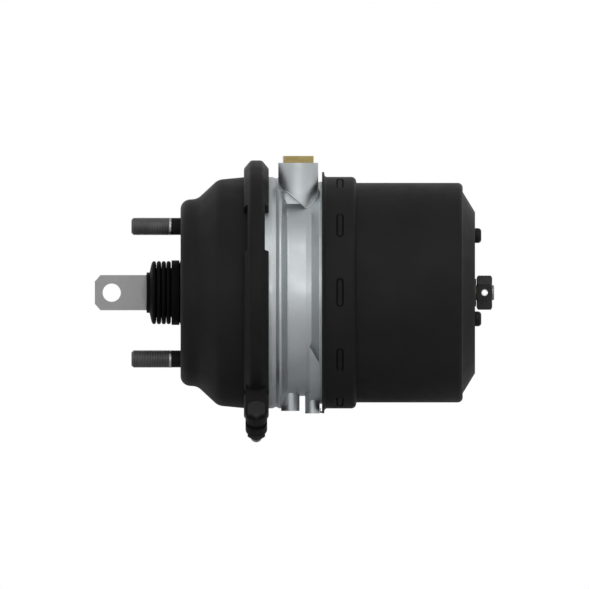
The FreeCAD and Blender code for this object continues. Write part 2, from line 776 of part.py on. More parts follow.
def clamp_bolt():
    """Hexagon bolt through both lugs, along the tangent of the band."""
    body = new_body("clamp_bolt")
    push(body, "shank", [("band_middle", "-clamp_bolt_circle", "clamp_bolt_radius")],
         "lug_reach + clamp_bolt_tip", plane="XZ_Plane", shift=(0, 0, "lug_reach"), backwards=True)
    push(body, "head", [hexagon("band_middle", "-clamp_bolt_circle", "clamp_flats", "90")],
         "clamp_head_height", plane="XZ_Plane", shift=(0, 0, "lug_reach"))
    return body


def clamp_nut():
    body = new_body("clamp_nut")
    push(body, "nut", [
        hexagon("band_middle", "-clamp_bolt_circle", "clamp_flats", "90"),
        ("band_middle", "-clamp_bolt_circle", "clamp_bolt_radius + hole_clearance"),
    ], "clamp_nut_height", plane="XZ_Plane", shift=(0, 0, "-lug_reach"), backwards=True)
    return body


def service_diaphragm():
    """Rubber diaphragm lying back in the dish of the centre body."""
    body = new_body("service_diaphragm")
    turn(body, "diaphragm", [
        ("bead_front", "flange_radius"),
        ("bead_front", "bead_inner_radius"),
        ("diaphragm_front", "diaphragm_flat_radius"),
        ("diaphragm_front", "0"),
        ("diaphragm_back", "0"),
        ("diaphragm_back", "diaphragm_flat_radius"),
        ("body_front", "bead_inner_radius"),
        ("body_front", "flange_radius"),
    ])


def centre_body():
    """Casting between the two chambers: flange, waist, register, web with ribs, hub and ports."""
    body = new_body("centre_body")
    boss_row = [("boss_place", sign + "boss_offset") for sign in ("", "-")]
    push(body, "bosses", [(along, across, "boss_radius") for along, across in boss_row],
         "boss_top - boss_foot", shift=(0, 0, "boss_foot"))
    undercut = [
        ("waist_front - body_bend", "boss_foot - body_bend"),
        ("waist_front + boss_undercut_length", "boss_foot - body_bend"),
        ("waist_front + boss_undercut_length", "waist_radius - boss_undercut_tip"),
        ("waist_front", "waist_radius - boss_undercut_top"),
        ("waist_front - body_bend", "waist_radius - boss_undercut_top"),
    ]
    for side, place in (("near", "boss_offset + boss_radius"),
                        ("far", "boss_undercut_depth - boss_offset - boss_radius")):
        push(body, f"{side}_undercut", [undercut], "boss_undercut_depth", plane="XZ_Plane",
             shift=(0, 0, place), cut=True)
    turn(body, "casting", [
        ("body_front", "hub_bore"),
        ("body_front", "flange_radius"),
        ("body_front + body_flange", "flange_radius"),
        ("body_front + body_flange", "body_rim_radius"),
        ("body_rim_back", "body_rim_radius"),
        ("body_notch_place", "body_notch_radius"),
        ("body_ridge_front", "body_rim_radius"),
        ("body_ridge_back", "body_rim_radius", "body_bend"),
        ("waist_front", "waist_radius", "body_bend"),
        ("waist_back", "waist_radius", "body_bend"),
        ("step_place", "step_radius"),
        ("shoulder_place", "shoulder_radius", "body_bend"),
        ("register_front", "shoulder_radius"),
        ("register_front", "register_radius"),
        ("seal_place", "register_radius"),
        ("seal_place", "register_radius - seal_depth"),
        ("seal_place + seal_width", "register_radius - seal_depth"),
        ("seal_place + seal_width", "register_radius"),
        ("dent_place - dent_groove_half", "register_radius"),
        ("dent_place - dent_groove_half", "register_radius - dent_groove_depth"),
        ("dent_place + dent_groove_half", "register_radius - dent_groove_depth"),
        ("dent_place + dent_groove_half", "register_radius"),
        ("register_end", "register_radius"),
        ("register_end", "hub_bore"),
    ])
    push(body, "pad", [[
        ("pad_front", "-pad_radius"),
        ("register_front", "-pad_radius"),
        ("register_front", "-pad_top_back"),
        ("pad_back", "-pad_top_back"),
        ("pad_front", "-pad_top"),
    ]], "pad_radius - pad_offset", plane="XZ_Plane", shift=(0, 0, "pad_offset"))
    beyond = box("pad_front - body_bend", "register_front", "pad_radius", "2 * pad_radius")
    turn(body, "pad_trim", beyond, cut=True, angle="120", about="-150")
    for name in ("front", "rear"):
        push(body, f"{name}_stub", [(f"{name}_stub_place", f"-{name}_stub_offset", f"{name}_stub_radius")],
             f"{name}_stub_bottom - boss_foot", shift=(0, 0, f"-{name}_stub_bottom"))
    turn(body, "dish", [
        ("body_front", "0"),
        ("body_front", "dish_radius"),
        ("web_front", "dish_flat_radius"),
        ("web_front", "0"),
    ], cut=True)
    turn(body, "cavity", [
        ("web_back", "0"),
        ("web_back", "cavity_radius", "body_bend"),
        ("cavity_flare_end", "register_bore"),
        ("register_end", "register_bore"),
        ("register_end", "0"),
    ], cut=True)
    coring = turn(body, "coring", [
        ("web_front + web_thickness", "hub_radius"),
        ("web_front + web_thickness", "coring_radius"),
        ("web_back", "coring_radius"),
        ("web_back", "hub_radius"),
    ], cut=True)
    rib_outline = box("web_front + web_thickness", "web_back", "hub_radius - rib_overlap",
                      "coring_radius + rib_overlap")
    rib = push(body, "rib", [rib_outline], "rib_thickness", midplane=True)
    repeat(body, "ribs", [rib], "rib_count")
    push(body, "adapter_holes",
         [(along, across, "adapter_spigot_radius + hole_clearance") for along, across in boss_row],
         "adapter_spigot_length + seat_gap", shift=(0, 0, "boss_top"), cut=True)
    push(body, "passages", [(along, across, "passage_radius") for along, across in boss_row],
         "passage_depth", shift=(0, 0, "boss_top"), cut=True)
    push(body, "service_passage", [("-boss_offset", "cross_passage_height", "cross_passage_radius")],
         "boss_place - body_front", plane="YZ_Plane", shift=(0, 0, "boss_place"), cut=True)
    push(body, "spring_passage", [("boss_offset", "cross_passage_height", "cross_passage_radius")],
         "web_depth", plane="YZ_Plane", shift=(0, 0, "boss_place"), cut=True, backwards=True)


def port_adapters():
    """Two hexagon adapters screwed into the port bosses."""
    body = new_body("port_adapters")
    centre = ("boss_place", "-boss_offset")
    head = push(body, "head", [hexagon(*centre, "adapter_flats", "-90 + adapter_angle")], "adapter_height",
                shift=(0, 0, "boss_top"))
    spigot = push(body, "spigot", [(*centre, "adapter_spigot_radius")], "adapter_spigot_length",
                  shift=(0, 0, "boss_top"), backwards=True)
    bore = push(body, "bore", [(*centre, "port_radius")], "adapter_height + adapter_spigot_length",
                shift=(0, 0, "boss_top + adapter_height"), cut=True)
    mirror = body.newObject("PartDesign::Mirrored", "pair")
    mirror.Originals = [head, spigot, bore]
    mirror.MirrorPlane = (origin_part(body, "XZ_Plane"), [""])
    body.Tip = mirror


def spring_housing():
    """Drawn cup with a flared rim, a wider skirt, a barrel and a dished end."""
    body = new_body("spring_housing")
    turn(body, "cup", [
        ("rim_front", "rim_radius", "rim_edge_rounding"),
        ("rim_front + rim_thickness", "rim_radius", "rim_edge_rounding"),
        ("rim_front + rim_thickness", "skirt_radius", "rim_bend"),
        ("skirt_end", "skirt_radius", "skirt_bend"),
        ("skirt_end", "barrel_radius", "barrel_foot_bend / 2"),
        ("barrel_end", "barrel_radius", "barrel_bend"),
        ("barrel_end", "end_dish_radius", "barrel_foot_bend"),
        ("end_face", "end_flat_radius", "barrel_foot_bend"),
        ("end_face", "end_hole_radius"),
        ("end_wall", "end_hole_radius"),
        ("end_wall", "end_flat_radius - end_shift"),
        ("barrel_end - sheet", "end_dish_radius - end_shift"),
        ("barrel_end - sheet", "barrel_radius - sheet", "barrel_bend - sheet"),
        ("skirt_end - sheet", "barrel_radius - sheet", "barrel_foot_bend / 2 + sheet"),
        ("skirt_end - sheet", "skirt_radius - sheet", "skirt_bend - sheet"),
        ("rim_front", "skirt_radius - sheet", "rim_bend + sheet"),
    ])

    def slot(shrink):
        corners = box(f"dent_place - dent_width / 2 + {shrink}", f"dent_place + dent_width / 2 - {shrink}",
                      f"-dent_length / 2 + {shrink}", f"dent_length / 2 - {shrink}")
        return [(*corner, f"dent_rounding - {shrink}") for corner in corners]

    dent = push(body, "dent", [slot("0")], "dent_depth + sheet", plane="XZ_Plane",
                shift=(0, 0, "skirt_radius + sheet"), cut=True)
    bump = push(body, "bump", [slot("hole_clearance")], "sheet * 0.8", plane="XZ_Plane",
                shift=(0, 0, "skirt_radius - sheet - dent_depth"))
    repeat(body, "dents", [dent, bump], "dent_count")
    for angle in ("vent_first_angle", "vent_second_angle"):
        push(body, f"{angle}_hole", [
            (f"vent_circle * cos(90 + {angle})", f"vent_circle * sin(90 + {angle})",
             "vent_stem_radius + hole_clearance"),
        ], "4 * sheet", plane="YZ_Plane", shift=(0, 0, "end_face"), cut=True, midplane=True)


def vent_plugs():
    """Two breather plugs, their stems through the end wall."""
    body = new_body("vent_plugs")
    for angle in ("vent_first_angle", "vent_second_angle"):
        turn(body, f"{angle}_plug", [
            ("end_face - vent_stem_length", "0"),
            ("end_face - vent_stem_length", "vent_stem_radius"),
            ("end_face", "vent_stem_radius"),
            ("end_face", "vent_radius"),
            ("end_face + vent_height", "vent_radius", "vent_rounding"),
            ("end_face + vent_height", "0"),
        ], shift=(0, f"vent_circle * cos(90 + {angle})", f"vent_circle * sin(90 + {angle})"))


def ring(node, start, end, inner, outer):
    """Plain turned ring."""
    body = new_body(node)
    turn(body, "ring", box(start, end, inner, outer))


def lock_tab():
    """Small tab on the front of the rim, bent back up beside the rear stub."""
    body = new_body("lock_tab")
    foot = "(-rim_radius + rim_edge_rounding / 2)"
    push(body, "tab", [[
        ("rim_front - lock_tab_reach", foot),
        ("rim_front", foot),
        ("rim_front", f"{foot} + lock_tab_foot"),
        ("rim_front - lock_tab_reach + lock_tab_leaf", f"{foot} + lock_tab_foot"),
        ("rim_front - lock_tab_reach + lock_tab_leaf", f"{foot} + lock_tab_height"),
        ("rim_front - lock_tab_reach", f"{foot} + lock_tab_height"),
    ]], "lock_tab_width", plane="XZ_Plane", shift=(0, 0, "lock_tab_offset - lock_tab_width / 2"))


def release_screw():
    """Long screw from the travelling nut to the outside."""
    body = new_body("release_screw")
    tip = "(hex_back + screw_tip)"
    turn(body, "screw", [
        ("screw_front", "0"),
        ("screw_front", "screw_radius - screw_chamfer"),
        ("screw_front + screw_chamfer", "screw_radius"),
        (tip, "screw_radius", "screw_chamfer"),
        (tip, "0"),
    ])
    push(body, "pin_hole", [("pin_place", "0", "pin_radius")], "4 * screw_radius", plane="XZ_Plane",
         cut=True, midplane=True)


def release_hex():
    """Hexagon on the outer end of the release screw."""
    body = new_body("release_hex")
    push(body, "hexagon", [hexagon("0", "0", "release_flats", "90")], "release_height",
         plane="YZ_Plane", shift=(0, 0, "hex_front"))
    corner = "release_flats / 2 / cos(30)"
    for name, face, inward, outward in (("front", "hex_front", "+", "-"), ("rear", "hex_back", "-", "+")):
        turn(body, f"{name}_rounding", [
            (f"{face} {inward} release_chamfer", f"{corner} + release_chamfer"),
            (f"{face} {inward} release_chamfer", corner),
            (face, f"{corner} - 2 * release_chamfer"),
            (f"{face} {outward} release_chamfer", f"{corner} - 2 * release_chamfer"),
            (f"{face} {outward} release_chamfer", f"{corner} + release_chamfer"),
        ], cut=True)
    push(body, "bore", [("0", "0", "screw_radius + hole_clearance / 2")], "2 * release_height",
         plane="YZ_Plane", shift=(0, 0, "hex_back"), cut=True, midplane=True)
    push(body, "pin_hole", [("pin_place", "0", "pin_radius")], "2 * release_flats", plane="XZ_Plane",
         cut=True, midplane=True)


def release_pin():
    """Slotted spring pin, open along one side."""
    body = new_body("release_pin")
    push(body, "pin", [("pin_place", "0", "pin_radius"), ("pin_place", "0", "pin_radius - pin_wall")],
         "release_flats", plane="XZ_Plane", midplane=True)
    push(body, "slot", [box("pin_place", "pin_place + 2 * pin_radius", "-pin_slot / 2", "pin_slot / 2")],
         "2 * release_flats", plane="XZ_Plane", cut=True, midplane=True)


def nut_keys(body, name, reach, length, start, cut):
    """Two keys, or their grooves, on the sides of the travelling nut."""
    half = "nut_key_width / 2" if not cut else "nut_key_width / 2 + seat_gap"
    push(body, name, [box(f"-{reach}", f"-{reach} + 3 * nut_key_height", f"-({half})", half),
                      box(f"{reach} - 3 * nut_key_height", reach, f"-({half})", half)],
         length, plane="YZ_Plane", shift=(0, 0, start), cut=cut, backwards=cut)


def release_nut():
    """Travelling nut, kept from turning by two keys in the tube."""
    body = new_body("release_nut")
    turn(body, "nut", box("nut_front", "nut_front + nut_length", "screw_hole", "tube_bore - running_gap"))
    nut_keys(body, "keys", "(tube_bore - running_gap + nut_key_height)", "nut_length", "nut_front", False)


def piston_tube():
    """Tube that pushes through the centre body, with two keyways inside."""
    body = new_body("piston_tube")
    turn(body, "tube", box("tube_front", "tube_back", "tube_bore", "tube_radius"))
    nut_keys(body, "keyways", "(tube_bore + nut_key_height + seat_gap)",
             "tube_back - tube_front - tube_cap_spigot", "tube_front + tube_cap_spigot", True)


def tube_end_cap():
    """Cap that bears on the diaphragm, with a spigot in the tube."""
    body = new_body("tube_end_cap")
    turn(body, "cap", [
        ("cap_front", "0"),
        ("cap_front", "tube_radius", "plate_rounding"),
        ("tube_front", "tube_radius"),
        ("tube_front", "tube_bore - hole_clearance"),
        ("tube_front + tube_cap_spigot", "tube_bore - hole_clearance"),
        ("tube_front + tube_cap_spigot", "0"),
    ])


def spring_piston():
    """Dished piston. Its rear land carries the guide ring and the seal."""
    body = new_body("spring_piston")
    turn(body, "piston", [
        ("piston_front", "tube_radius + hole_clearance"),
        ("piston_front", "piston_nose_radius", "body_bend"),
        ("piston_front + piston_nose_length", "piston_skirt_radius", "piston_nose_bend"),
        ("piston_land_front", "piston_skirt_radius"),
        ("piston_land_front", "piston_land_radius"),
        ("guide_place", "piston_land_radius"),
        ("guide_place", "piston_land_radius - guide_depth"),
        ("guide_place + guide_width", "piston_land_radius - guide_depth"),
        ("guide_place + guide_width", "piston_land_radius"),
        ("piston_seal_place", "piston_land_radius"),
        ("piston_seal_place", "piston_land_radius - piston_seal_depth"),
        ("piston_seal_place + piston_seal_width", "piston_land_radius - piston_seal_depth"),
        ("piston_seal_place + piston_seal_width", "piston_land_radius"),
        ("piston_back", "piston_land_radius"),
        ("piston_back", "piston_skirt_radius - piston_skirt_wall"),
        ("piston_front + piston_nose_length + piston_wall / 2", "piston_skirt_radius - piston_skirt_wall",
         "piston_nose_bend"),
        ("piston_floor", "piston_nose_radius - piston_nose_taper", "piston_nose_bend / 2"),
        ("piston_floor", "piston_hub_radius"),
        ("piston_hub_back", "piston_hub_radius"),
        ("piston_hub_back", "screw_hole"),
        ("tube_back", "screw_hole"),
        ("tube_back", "tube_radius + hole_clearance"),
    ])


def power_spring():
    """Heavy spring between the piston and the end of its chamber."""
    body = new_body("power_spring")
    start = "(piston_floor + seat_gap + power_wire_radius)"
    travel = f"(seat_front - power_wire_radius - {start})"
    coil(body, start, "power_spring_radius", "power_wire_radius",
         f"{travel} / power_spring_turns", "power_spring_turns", "0")


service_housing()
stud_backing_plate()
mounting_studs()
boot()
push_rod_eye()
push_rod()
push_plate()
return_spring()
for piece in (clamp_band(), clamp_bolt(), clamp_nut()):
    piece.Placement = FreeCAD.Placement(
        FreeCAD.Vector(), FreeCAD.Rotation(FreeCAD.Vector(1, 0, 0), -size("lug_angle")))
    piece.setExpression("Placement.Rotation.Angle", cells("-lug_angle"))
service_diaphragm()
centre_body()
port_adapters()
spring_housing()
ring("housing_seal", "seal_place", "seal_place + seal_width", "register_radius - seal_depth",
     "skirt_radius - sheet")
lock_tab()
vent_plugs()
ring("thrust_washer", "end_face", "end_face + washer_thickness", "screw_hole", "washer_radius")
release_screw()
release_hex()
release_pin()
release_nut()
ring("tube_seals", "web_front", "web_front + tube_seal_width", "tube_radius + running_gap",
     "hub_bore")
ring("tube_guide_bush", "web_front + tube_seal_width", "web_back", "tube_radius + running_gap",
     "hub_bore")
piston_tube()
tube_end_cap()
spring_piston()
ring("piston_guide_ring", "guide_place", "guide_place + guide_width", "piston_land_radius - guide_depth",
     "ring_radius")
ring("piston_seal", "piston_seal_place", "piston_seal_place + piston_seal_width",
     "piston_land_radius - piston_seal_depth", "ring_radius")
power_spring()
ring("spring_seat", "seat_front", "end_wall", "spring_seat_inner", "spring_seat_outer")
ring("end_bush", "seat_front", "end_face", "screw_hole", "end_hole_radius")

doc.recompute()
for part in doc.Objects:
    if "Invalid" in part.State or "Error" in part.State:
        raise RuntimeError(f"{part.Label} failed: {part.State}")
for body in bodies:
    if body.Shape.isNull() or not body.Shape.isValid():
        raise RuntimeError(f"{body.Label} has no valid shape")

os.makedirs("parts", exist_ok=True)
for body in bodies:
    body.Shape.exportStep(f"parts/{body.Label}.step")
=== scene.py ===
import math

import bmesh
import bpy
from mathutils import Matrix, Vector


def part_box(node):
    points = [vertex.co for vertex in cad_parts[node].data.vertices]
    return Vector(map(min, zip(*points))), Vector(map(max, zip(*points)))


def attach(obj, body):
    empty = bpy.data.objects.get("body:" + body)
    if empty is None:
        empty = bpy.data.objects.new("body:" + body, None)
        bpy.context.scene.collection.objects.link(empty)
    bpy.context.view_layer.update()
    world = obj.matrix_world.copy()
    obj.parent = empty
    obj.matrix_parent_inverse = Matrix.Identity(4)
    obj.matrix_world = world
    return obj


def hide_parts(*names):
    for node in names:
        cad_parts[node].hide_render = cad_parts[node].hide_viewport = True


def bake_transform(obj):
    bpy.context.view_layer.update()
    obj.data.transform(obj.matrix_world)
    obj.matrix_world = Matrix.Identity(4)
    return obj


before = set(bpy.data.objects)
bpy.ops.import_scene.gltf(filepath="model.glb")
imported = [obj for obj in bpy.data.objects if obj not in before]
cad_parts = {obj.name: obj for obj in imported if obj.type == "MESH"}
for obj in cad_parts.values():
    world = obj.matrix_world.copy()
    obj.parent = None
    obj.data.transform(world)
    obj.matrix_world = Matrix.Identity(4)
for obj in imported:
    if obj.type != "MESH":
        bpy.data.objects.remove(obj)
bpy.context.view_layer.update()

# Sizes are in millimetres, as in the CAD model. The meshes are in metres.
MM = 0.001
ON_AXIS = 0.01  # outlines that reach the axis end this close to it

# Service chamber
WALL = 3.0
NECK_RADIUS, NECK_LENGTH, NECK_BEND = 25.5, 7.5, 4.3
FACE_RADIUS, FACE_BEND = 84.325, 9.0
CONE_START, CONE_FOOT = 15.5, 85.425
CONE_END, CONE_TOP, CONE_BEND = 34.24, 102.9, 12.0
CONE_SHIFT = WALL * math.tan(math.radians(43 / 2))
MOUTH_RADIUS = 105.5
FLANGE_FRONT, FLANGE_RADIUS = 61.2, 111.4
BREATHER_RADIUS, BREATHER_CIRCLE, BREATHERS = 4.0, 66.0, 4
FACE_CUT = (-4, 7)  # from and to, along X

# Mounting studs
STUD_RADIUS, STUD_SPACING, STUD_REACH = 8.0, 120.65, 44.7
STUD_PITCH, STUD_THREAD_DEPTH, STUD_CHAMFER = 1.5, 0.22, 2.2
STUD_SHANK_LENGTH, STUD_SHANK_RADIUS = 8.3, 7.75
STUD_RUNOUT, STUD_PRESS_RADIUS = 2.0, 8.3
STUD_HEAD_RADIUS, STUD_HEAD_FRONT, STUD_HEAD_BACK = 12.0, 8.0, 13.0

# Boot
BOOT_COLLAR_FRONT, BOOT_COLLAR_BACK, BOOT_COLLAR_RADIUS = -30.9, -28.2, 18.45
BOOT_COLLAR_WALL = 2.0
BOOT_ROD_BORE, BOOT_BORE = 16.6, 19.2
BOOT_SHOULDER = ((-27.1, 23.4), (-26.3, 26.8))
BOOT_FIRST_FOLD, BOOT_FOLD_PITCH, BOOT_FOLDS = -24.1, 4.43, 4
BOOT_FOLD_RADIUS, BOOT_GROOVE_RADIUS, BOOT_FOLD_BEND = 28.75, 22.0, 1.75
BOOT_FOLD_FLANK, BOOT_FOLD_CROWN, BOOT_FOLD_STEPS = 2.6, 0.225, 24
BOOT_LIP, BOOT_LIP_RADIUS = 0.12, 25.0
BOOT_BASE_FRONT, BOOT_BASE_RADIUS = -8.2, 29.45
BOOT_GAP = 0.3

# Service diaphragm
BEAD_FRONT, BEAD_BACK, BEAD_INNER, BEAD_OUTER = 64.2, 71.9, 101.0, 111.2
DIAPHRAGM_FRONT, DIAPHRAGM_BACK, DIAPHRAGM_FLAT = 82.3, 86.2, 64.0
DIAPHRAGM_CENTRE = 0.4
DIAPHRAGM_WALL = ((84.2, 64.3), (70.2, 99.6))  # front side of the thin sloping wall

# Clamp band
BAND_FRONT, BAND_BACK = 57.7, 80.4
BAND_MIDDLE = (BAND_FRONT + BAND_BACK) / 2
LUG_TURN, LUG_REACH = math.radians(37.0), 12.3
BOLT_CIRCLE, BOLT_RADIUS, BOLT_TIP, BOLT_PITCH = 145.0, 5.0, 28.7, 1.5
BOLT_FLATS, BOLT_HEAD, BOLT_NUT, NUT_BORE = 16.0, 6.4, 8.0, 4.4

# Air ports
PORT_PLACE, PORT_SPACING, PORT_TOP = 107.2, 76.0, 118.2
PORT_BORE, PORT_PITCH = 7.25, 1.5
ADAPTER_FLATS, ADAPTER_HEIGHT, ADAPTER_TURN = 27.0, 6.3, math.radians(4.0)
ADAPTER_BORE, ADAPTER_COUNTERSINK = 8.15, 0.6
ADAPTER_SPIGOT_RADIUS, ADAPTER_SPIGOT_LENGTH = 10.0, 14.2

# Feet of the port bosses
BOSS_RADIUS, BOSS_BEAD = 18.2, 0.8
BOSS_BEAD_FROM, BOSS_BEAD_TO = 0.97, 0.03  # in half turns round the boss
BOSS_BEAD_STEPS, BOSS_BEAD_SMOOTHING = 60, 3
BODY_PROFILE = ((83.6, 105.4), (87.0, 104.0), (90.0, 105.4), (92.0, 105.4), (97.0, 94.1), (114.3, 94.1),
                (119.2, 95.1), (126.6, 101.2), (131.2, 101.2))
UNDERCUT = ((97.0, 92.0), (113.8, 78.0))

# Spring chamber
RIM_FRONT, RIM_THICKNESS, RIM_RADIUS, RIM_BEND = 128.8, 2.2, 109.9, 2.5
SKIRT_RADIUS, SKIRT_END = 105.45, 160.0
BARREL_RADIUS, BARREL_END = 100.0, 257.0
DISH_RADIUS, DISH_END, DISH_FLAT, DISH_SHIFT = 91.7, 268.2, 73.28, 0.84
END_HOLE = 10.0
DENT_PLACE, DENT_WIDTH, DENT_LENGTH, DENT_DEPTH, DENTS = 145.2, 6.5, 26.4, 1.25, 10
DENT_EDGE_START, DENT_EDGE_WIDTH = -0.2, 0.45
GROOVE_PLACE, GROOVE_DEPTH, GROOVE_HALF_WIDTH = 0.65, 1.6, 0.6
DENT_ROWS = (-5, -4.2, -3.5, -3.3, -3.1, -2.9, -2.7, -2.5, -2.3, -2.1, -1.6, -0.8, 0,
             0.8, 1.6, 2.1, 2.3, 2.5, 2.7, 2.9, 3.1, 3.3, 3.5, 4.2, 5)

# Outer end
VENT_CIRCLE, VENT_TURNS = 57.28, (24.8, 114.6)
VENT_RADIUS, VENT_HEIGHT, VENT_STEM_RADIUS, VENT_STEM_LENGTH = 6.8, 5.7, 4.0, 6.0
VENT_DIMPLE_RADIUS, VENT_DIMPLE_FLOOR, VENT_DIMPLE_DEPTH = 2.2, 1.6, 1.0
VENT_CUT = (DISH_END - 8, DISH_END + 4)
HEX_FRONT, HEX_BACK, HEX_FLATS = 269.6, 283.8, 27.0
SCREW_RADIUS, SCREW_FRONT, SCREW_BACK, SCREW_PITCH = 7.0, 102.0, 285.6, 4.0
SCREW_PLAIN_FRONT = HEX_FRONT - 6
PIN_RADIUS, PIN_PLACE, PIN_CUT = 3.0, 276.9, (-20, 20)

# Springs
POWER_WIRE, POWER_RADIUS, POWER_TURNS = 7.5, 65.98, 3.7
RETURN_WIRE, RETURN_FRONT, RETURN_BACK, RETURN_TURNS = 2.5, 42.0, 30.0, 4.5
SPRING_STEPS = 40  # for each turn

# Threads and hexagons
THREAD_SIDES, THREAD_ROWS = 64, 10  # round the thread, and for each pitch
THREAD_SLOPE, THREAD_CREST, THREAD_CHAMFER_SLOPE = 1.5, 0.2, 0.9
HEXAGON_SIDES, CHAMFER_SLOPE = 72, 1.7

# Photograph
CAMERA_HEIGHT, CAMERA_PLACE, CAMERA_WIDTH = -1.67, 103.8, 536.3
CAMERA_DISTANCE = 1500.0
FLOOR, FLOOR_HALF = -143.5, 3000.0


# Meshes

def make_object(name, vertices, faces, sharp=35.0):
    """Object from vertices in millimetres, smooth except at its sharp edges."""
    mesh = bpy.data.meshes.new(name)
    mesh.from_pydata([Vector(vertex) * MM for vertex in vertices], [], faces)
    mesh.validate()
    builder = bmesh.new()
    builder.from_mesh(mesh)
    bmesh.ops.remove_doubles(builder, verts=builder.verts, dist=1e-7)
    bmesh.ops.recalc_face_normals(builder, faces=builder.faces)
    builder.to_mesh(mesh)
    builder.free()
    mesh.shade_smooth()
    mesh.set_sharp_from_angle(angle=math.radians(sharp))
    piece = bpy.data.objects.new(name, mesh)
    bpy.context.scene.collection.objects.link(piece)
    return piece


def strip_faces(rows, sides, ring=False):
    """Four-sided faces between rows of points. In a ring, the last row joins the first."""
    faces = []
    for i in range(rows if ring else rows - 1):
        j = (i + 1) % rows
        for k in range(sides):
            after = (k + 1) % sides
            faces.append((i * sides + k, i * sides + after, j * sides + after, j * sides + k))
    return faces


def end_faces(rows, sides):
    """Flat faces that close the first and the last row."""
    return [tuple(range(sides)), tuple(range((rows - 1) * sides, rows * sides))]


def rounded(corners, step=12.0):
    """Outline with arcs at the corners that give a radius as their third number."""
    points = []
    count = len(corners)
    for i, corner in enumerate(corners):
        spot = Vector(corner[:2])
        if len(corner) < 3:
            points.append(spot)
            continue
        before = (Vector(corners[i - 1][:2]) - spot).normalized()
        after = (Vector(corners[(i + 1) % count][:2]) - spot).normalized()
        half = before.angle(after) / 2
        centre = spot + (before + after).normalized() * (corner[2] / math.sin(half))
        start = spot + before * (corner[2] / math.tan(half)) - centre
        sweep = math.copysign(math.pi - 2 * half, before.y * after.x - before.x * after.y)
        steps = max(2, round(abs(sweep) / math.radians(step)))
        for k in range(steps + 1):
            points.append(centre + Matrix.Rotation(sweep * k / steps, 2) @ start)
    return points


def divided(points, longest):
    """Outline with extra points, so that no side is longer than given."""
    result = []
    for i, point in enumerate(points):
        after = points[(i + 1) % len(points)]
        pieces = max(1, math.ceil((after - point).length / longest))
        result += [point.lerp(after, k / pieces) for k in range(pieces)]
    return result


def around(x, radius, angle, centre=(0.0, 0.0)):
    """Point at a radius from the axis. The angle is from the top, towards the camera."""
    return (x, centre[0] - radius * math.sin(angle), centre[1] + radius * math.cos(angle))


def off_axis(radius, angle):
    """Centre of a hole or stud that is off the main axis, as its Y and Z."""
    return around(0, radius, angle)[1:]


def lathe(name, outline, segments=192, centre=(0.0, 0.0), shape=None):
    """Ring turned about the X axis, or a line through another centre. The shape may move each point."""
    vertices = []
    for k in range(segments):
        angle = 2 * math.pi * k / segments
        for point in outline:
            x, radius = shape(*point, angle) if shape else point
            vertices.append(around(x, radius, angle, centre))
    return make_object(name, vertices, strip_faces(segments, len(outline), ring=True))


def plug(name, ends, radius, segments, centre=(0.0, 0.0)):
    """Round plug along the X axis, which cuts a hole."""
    start, end = ends
    return lathe(name, [(start, ON_AXIS), (start, radius), (end, radius), (end, ON_AXIS)], segments, centre)


def tube_along(name, path, radius, sides=20):
    """Round wire along a path of points, its ends closed."""
    vertices = []
    for i, point in enumerate(path):
        ahead = (path[min(i + 1, len(path) - 1)] - path[max(i - 1, 0)]).normalized()
        outwards = Vector((0, point.y, point.z)).normalized()
        sideways = ahead.cross(outwards).normalized()
        outwards = sideways.cross(ahead).normalized()
        for k in range(sides):
            angle = 2 * math.pi * k / sides
            vertices.append(point + radius * (outwards * math.cos(angle) + sideways * math.sin(angle)))
    return make_object(name, vertices, strip_faces(len(path), sides) + end_faces(len(path), sides))


def spring(name, start, end, front_radius, back_radius, turns, wire):
    """Coil spring, cylindrical or conical."""
    steps = int(turns * SPRING_STEPS)
    path = []
    for k in range(steps + 1):
        share = k / steps
        angle = 2 * math.pi * turns * share
        radius = front_radius + (back_radius - front_radius) * share
        x = start + (end - start) * share
        path.append(Vector((x, radius * math.cos(angle), radius * math.sin(angle))))
    return tube_along(name, path, wire)


def threaded(name, start, end, radius, pitch, centre=(0.0, 0.0), depth=0.55, inside=False, chamfer=1.2,
             both_ends=False):
    """Thread on a rod or in a hole, as one closed skin, chamfered at its first end or both."""
    length = abs(end - start)
    steps = int(length / pitch * THREAD_ROWS)
    groove = depth * pitch * (-1 if inside else 1)
    vertices = []
    for i in range(steps + 1):
        x = start + (end - start) * i / steps
        reach = (min(i, steps - i) if both_ends else i) / steps * length
        for k in range(THREAD_SIDES):
            phase = (x / pitch - k / THREAD_SIDES) % 1.0
            wave = min(1.0, max(0.0, abs(phase * 2 - 1) * THREAD_SLOPE - THREAD_CREST))
            surface_radius = radius - groove * wave
            if not inside:
                cut = max(0.0, chamfer - reach) * THREAD_CHAMFER_SLOPE
                surface_radius = min(surface_radius, radius - cut)
            vertices.append(around(x, surface_radius, 2 * math.pi * k / THREAD_SIDES, centre))
    faces = strip_faces(steps + 1, THREAD_SIDES)
    if not inside:
        faces += end_faces(steps + 1, THREAD_SIDES)
    return make_object(name, vertices, faces, sharp=60)


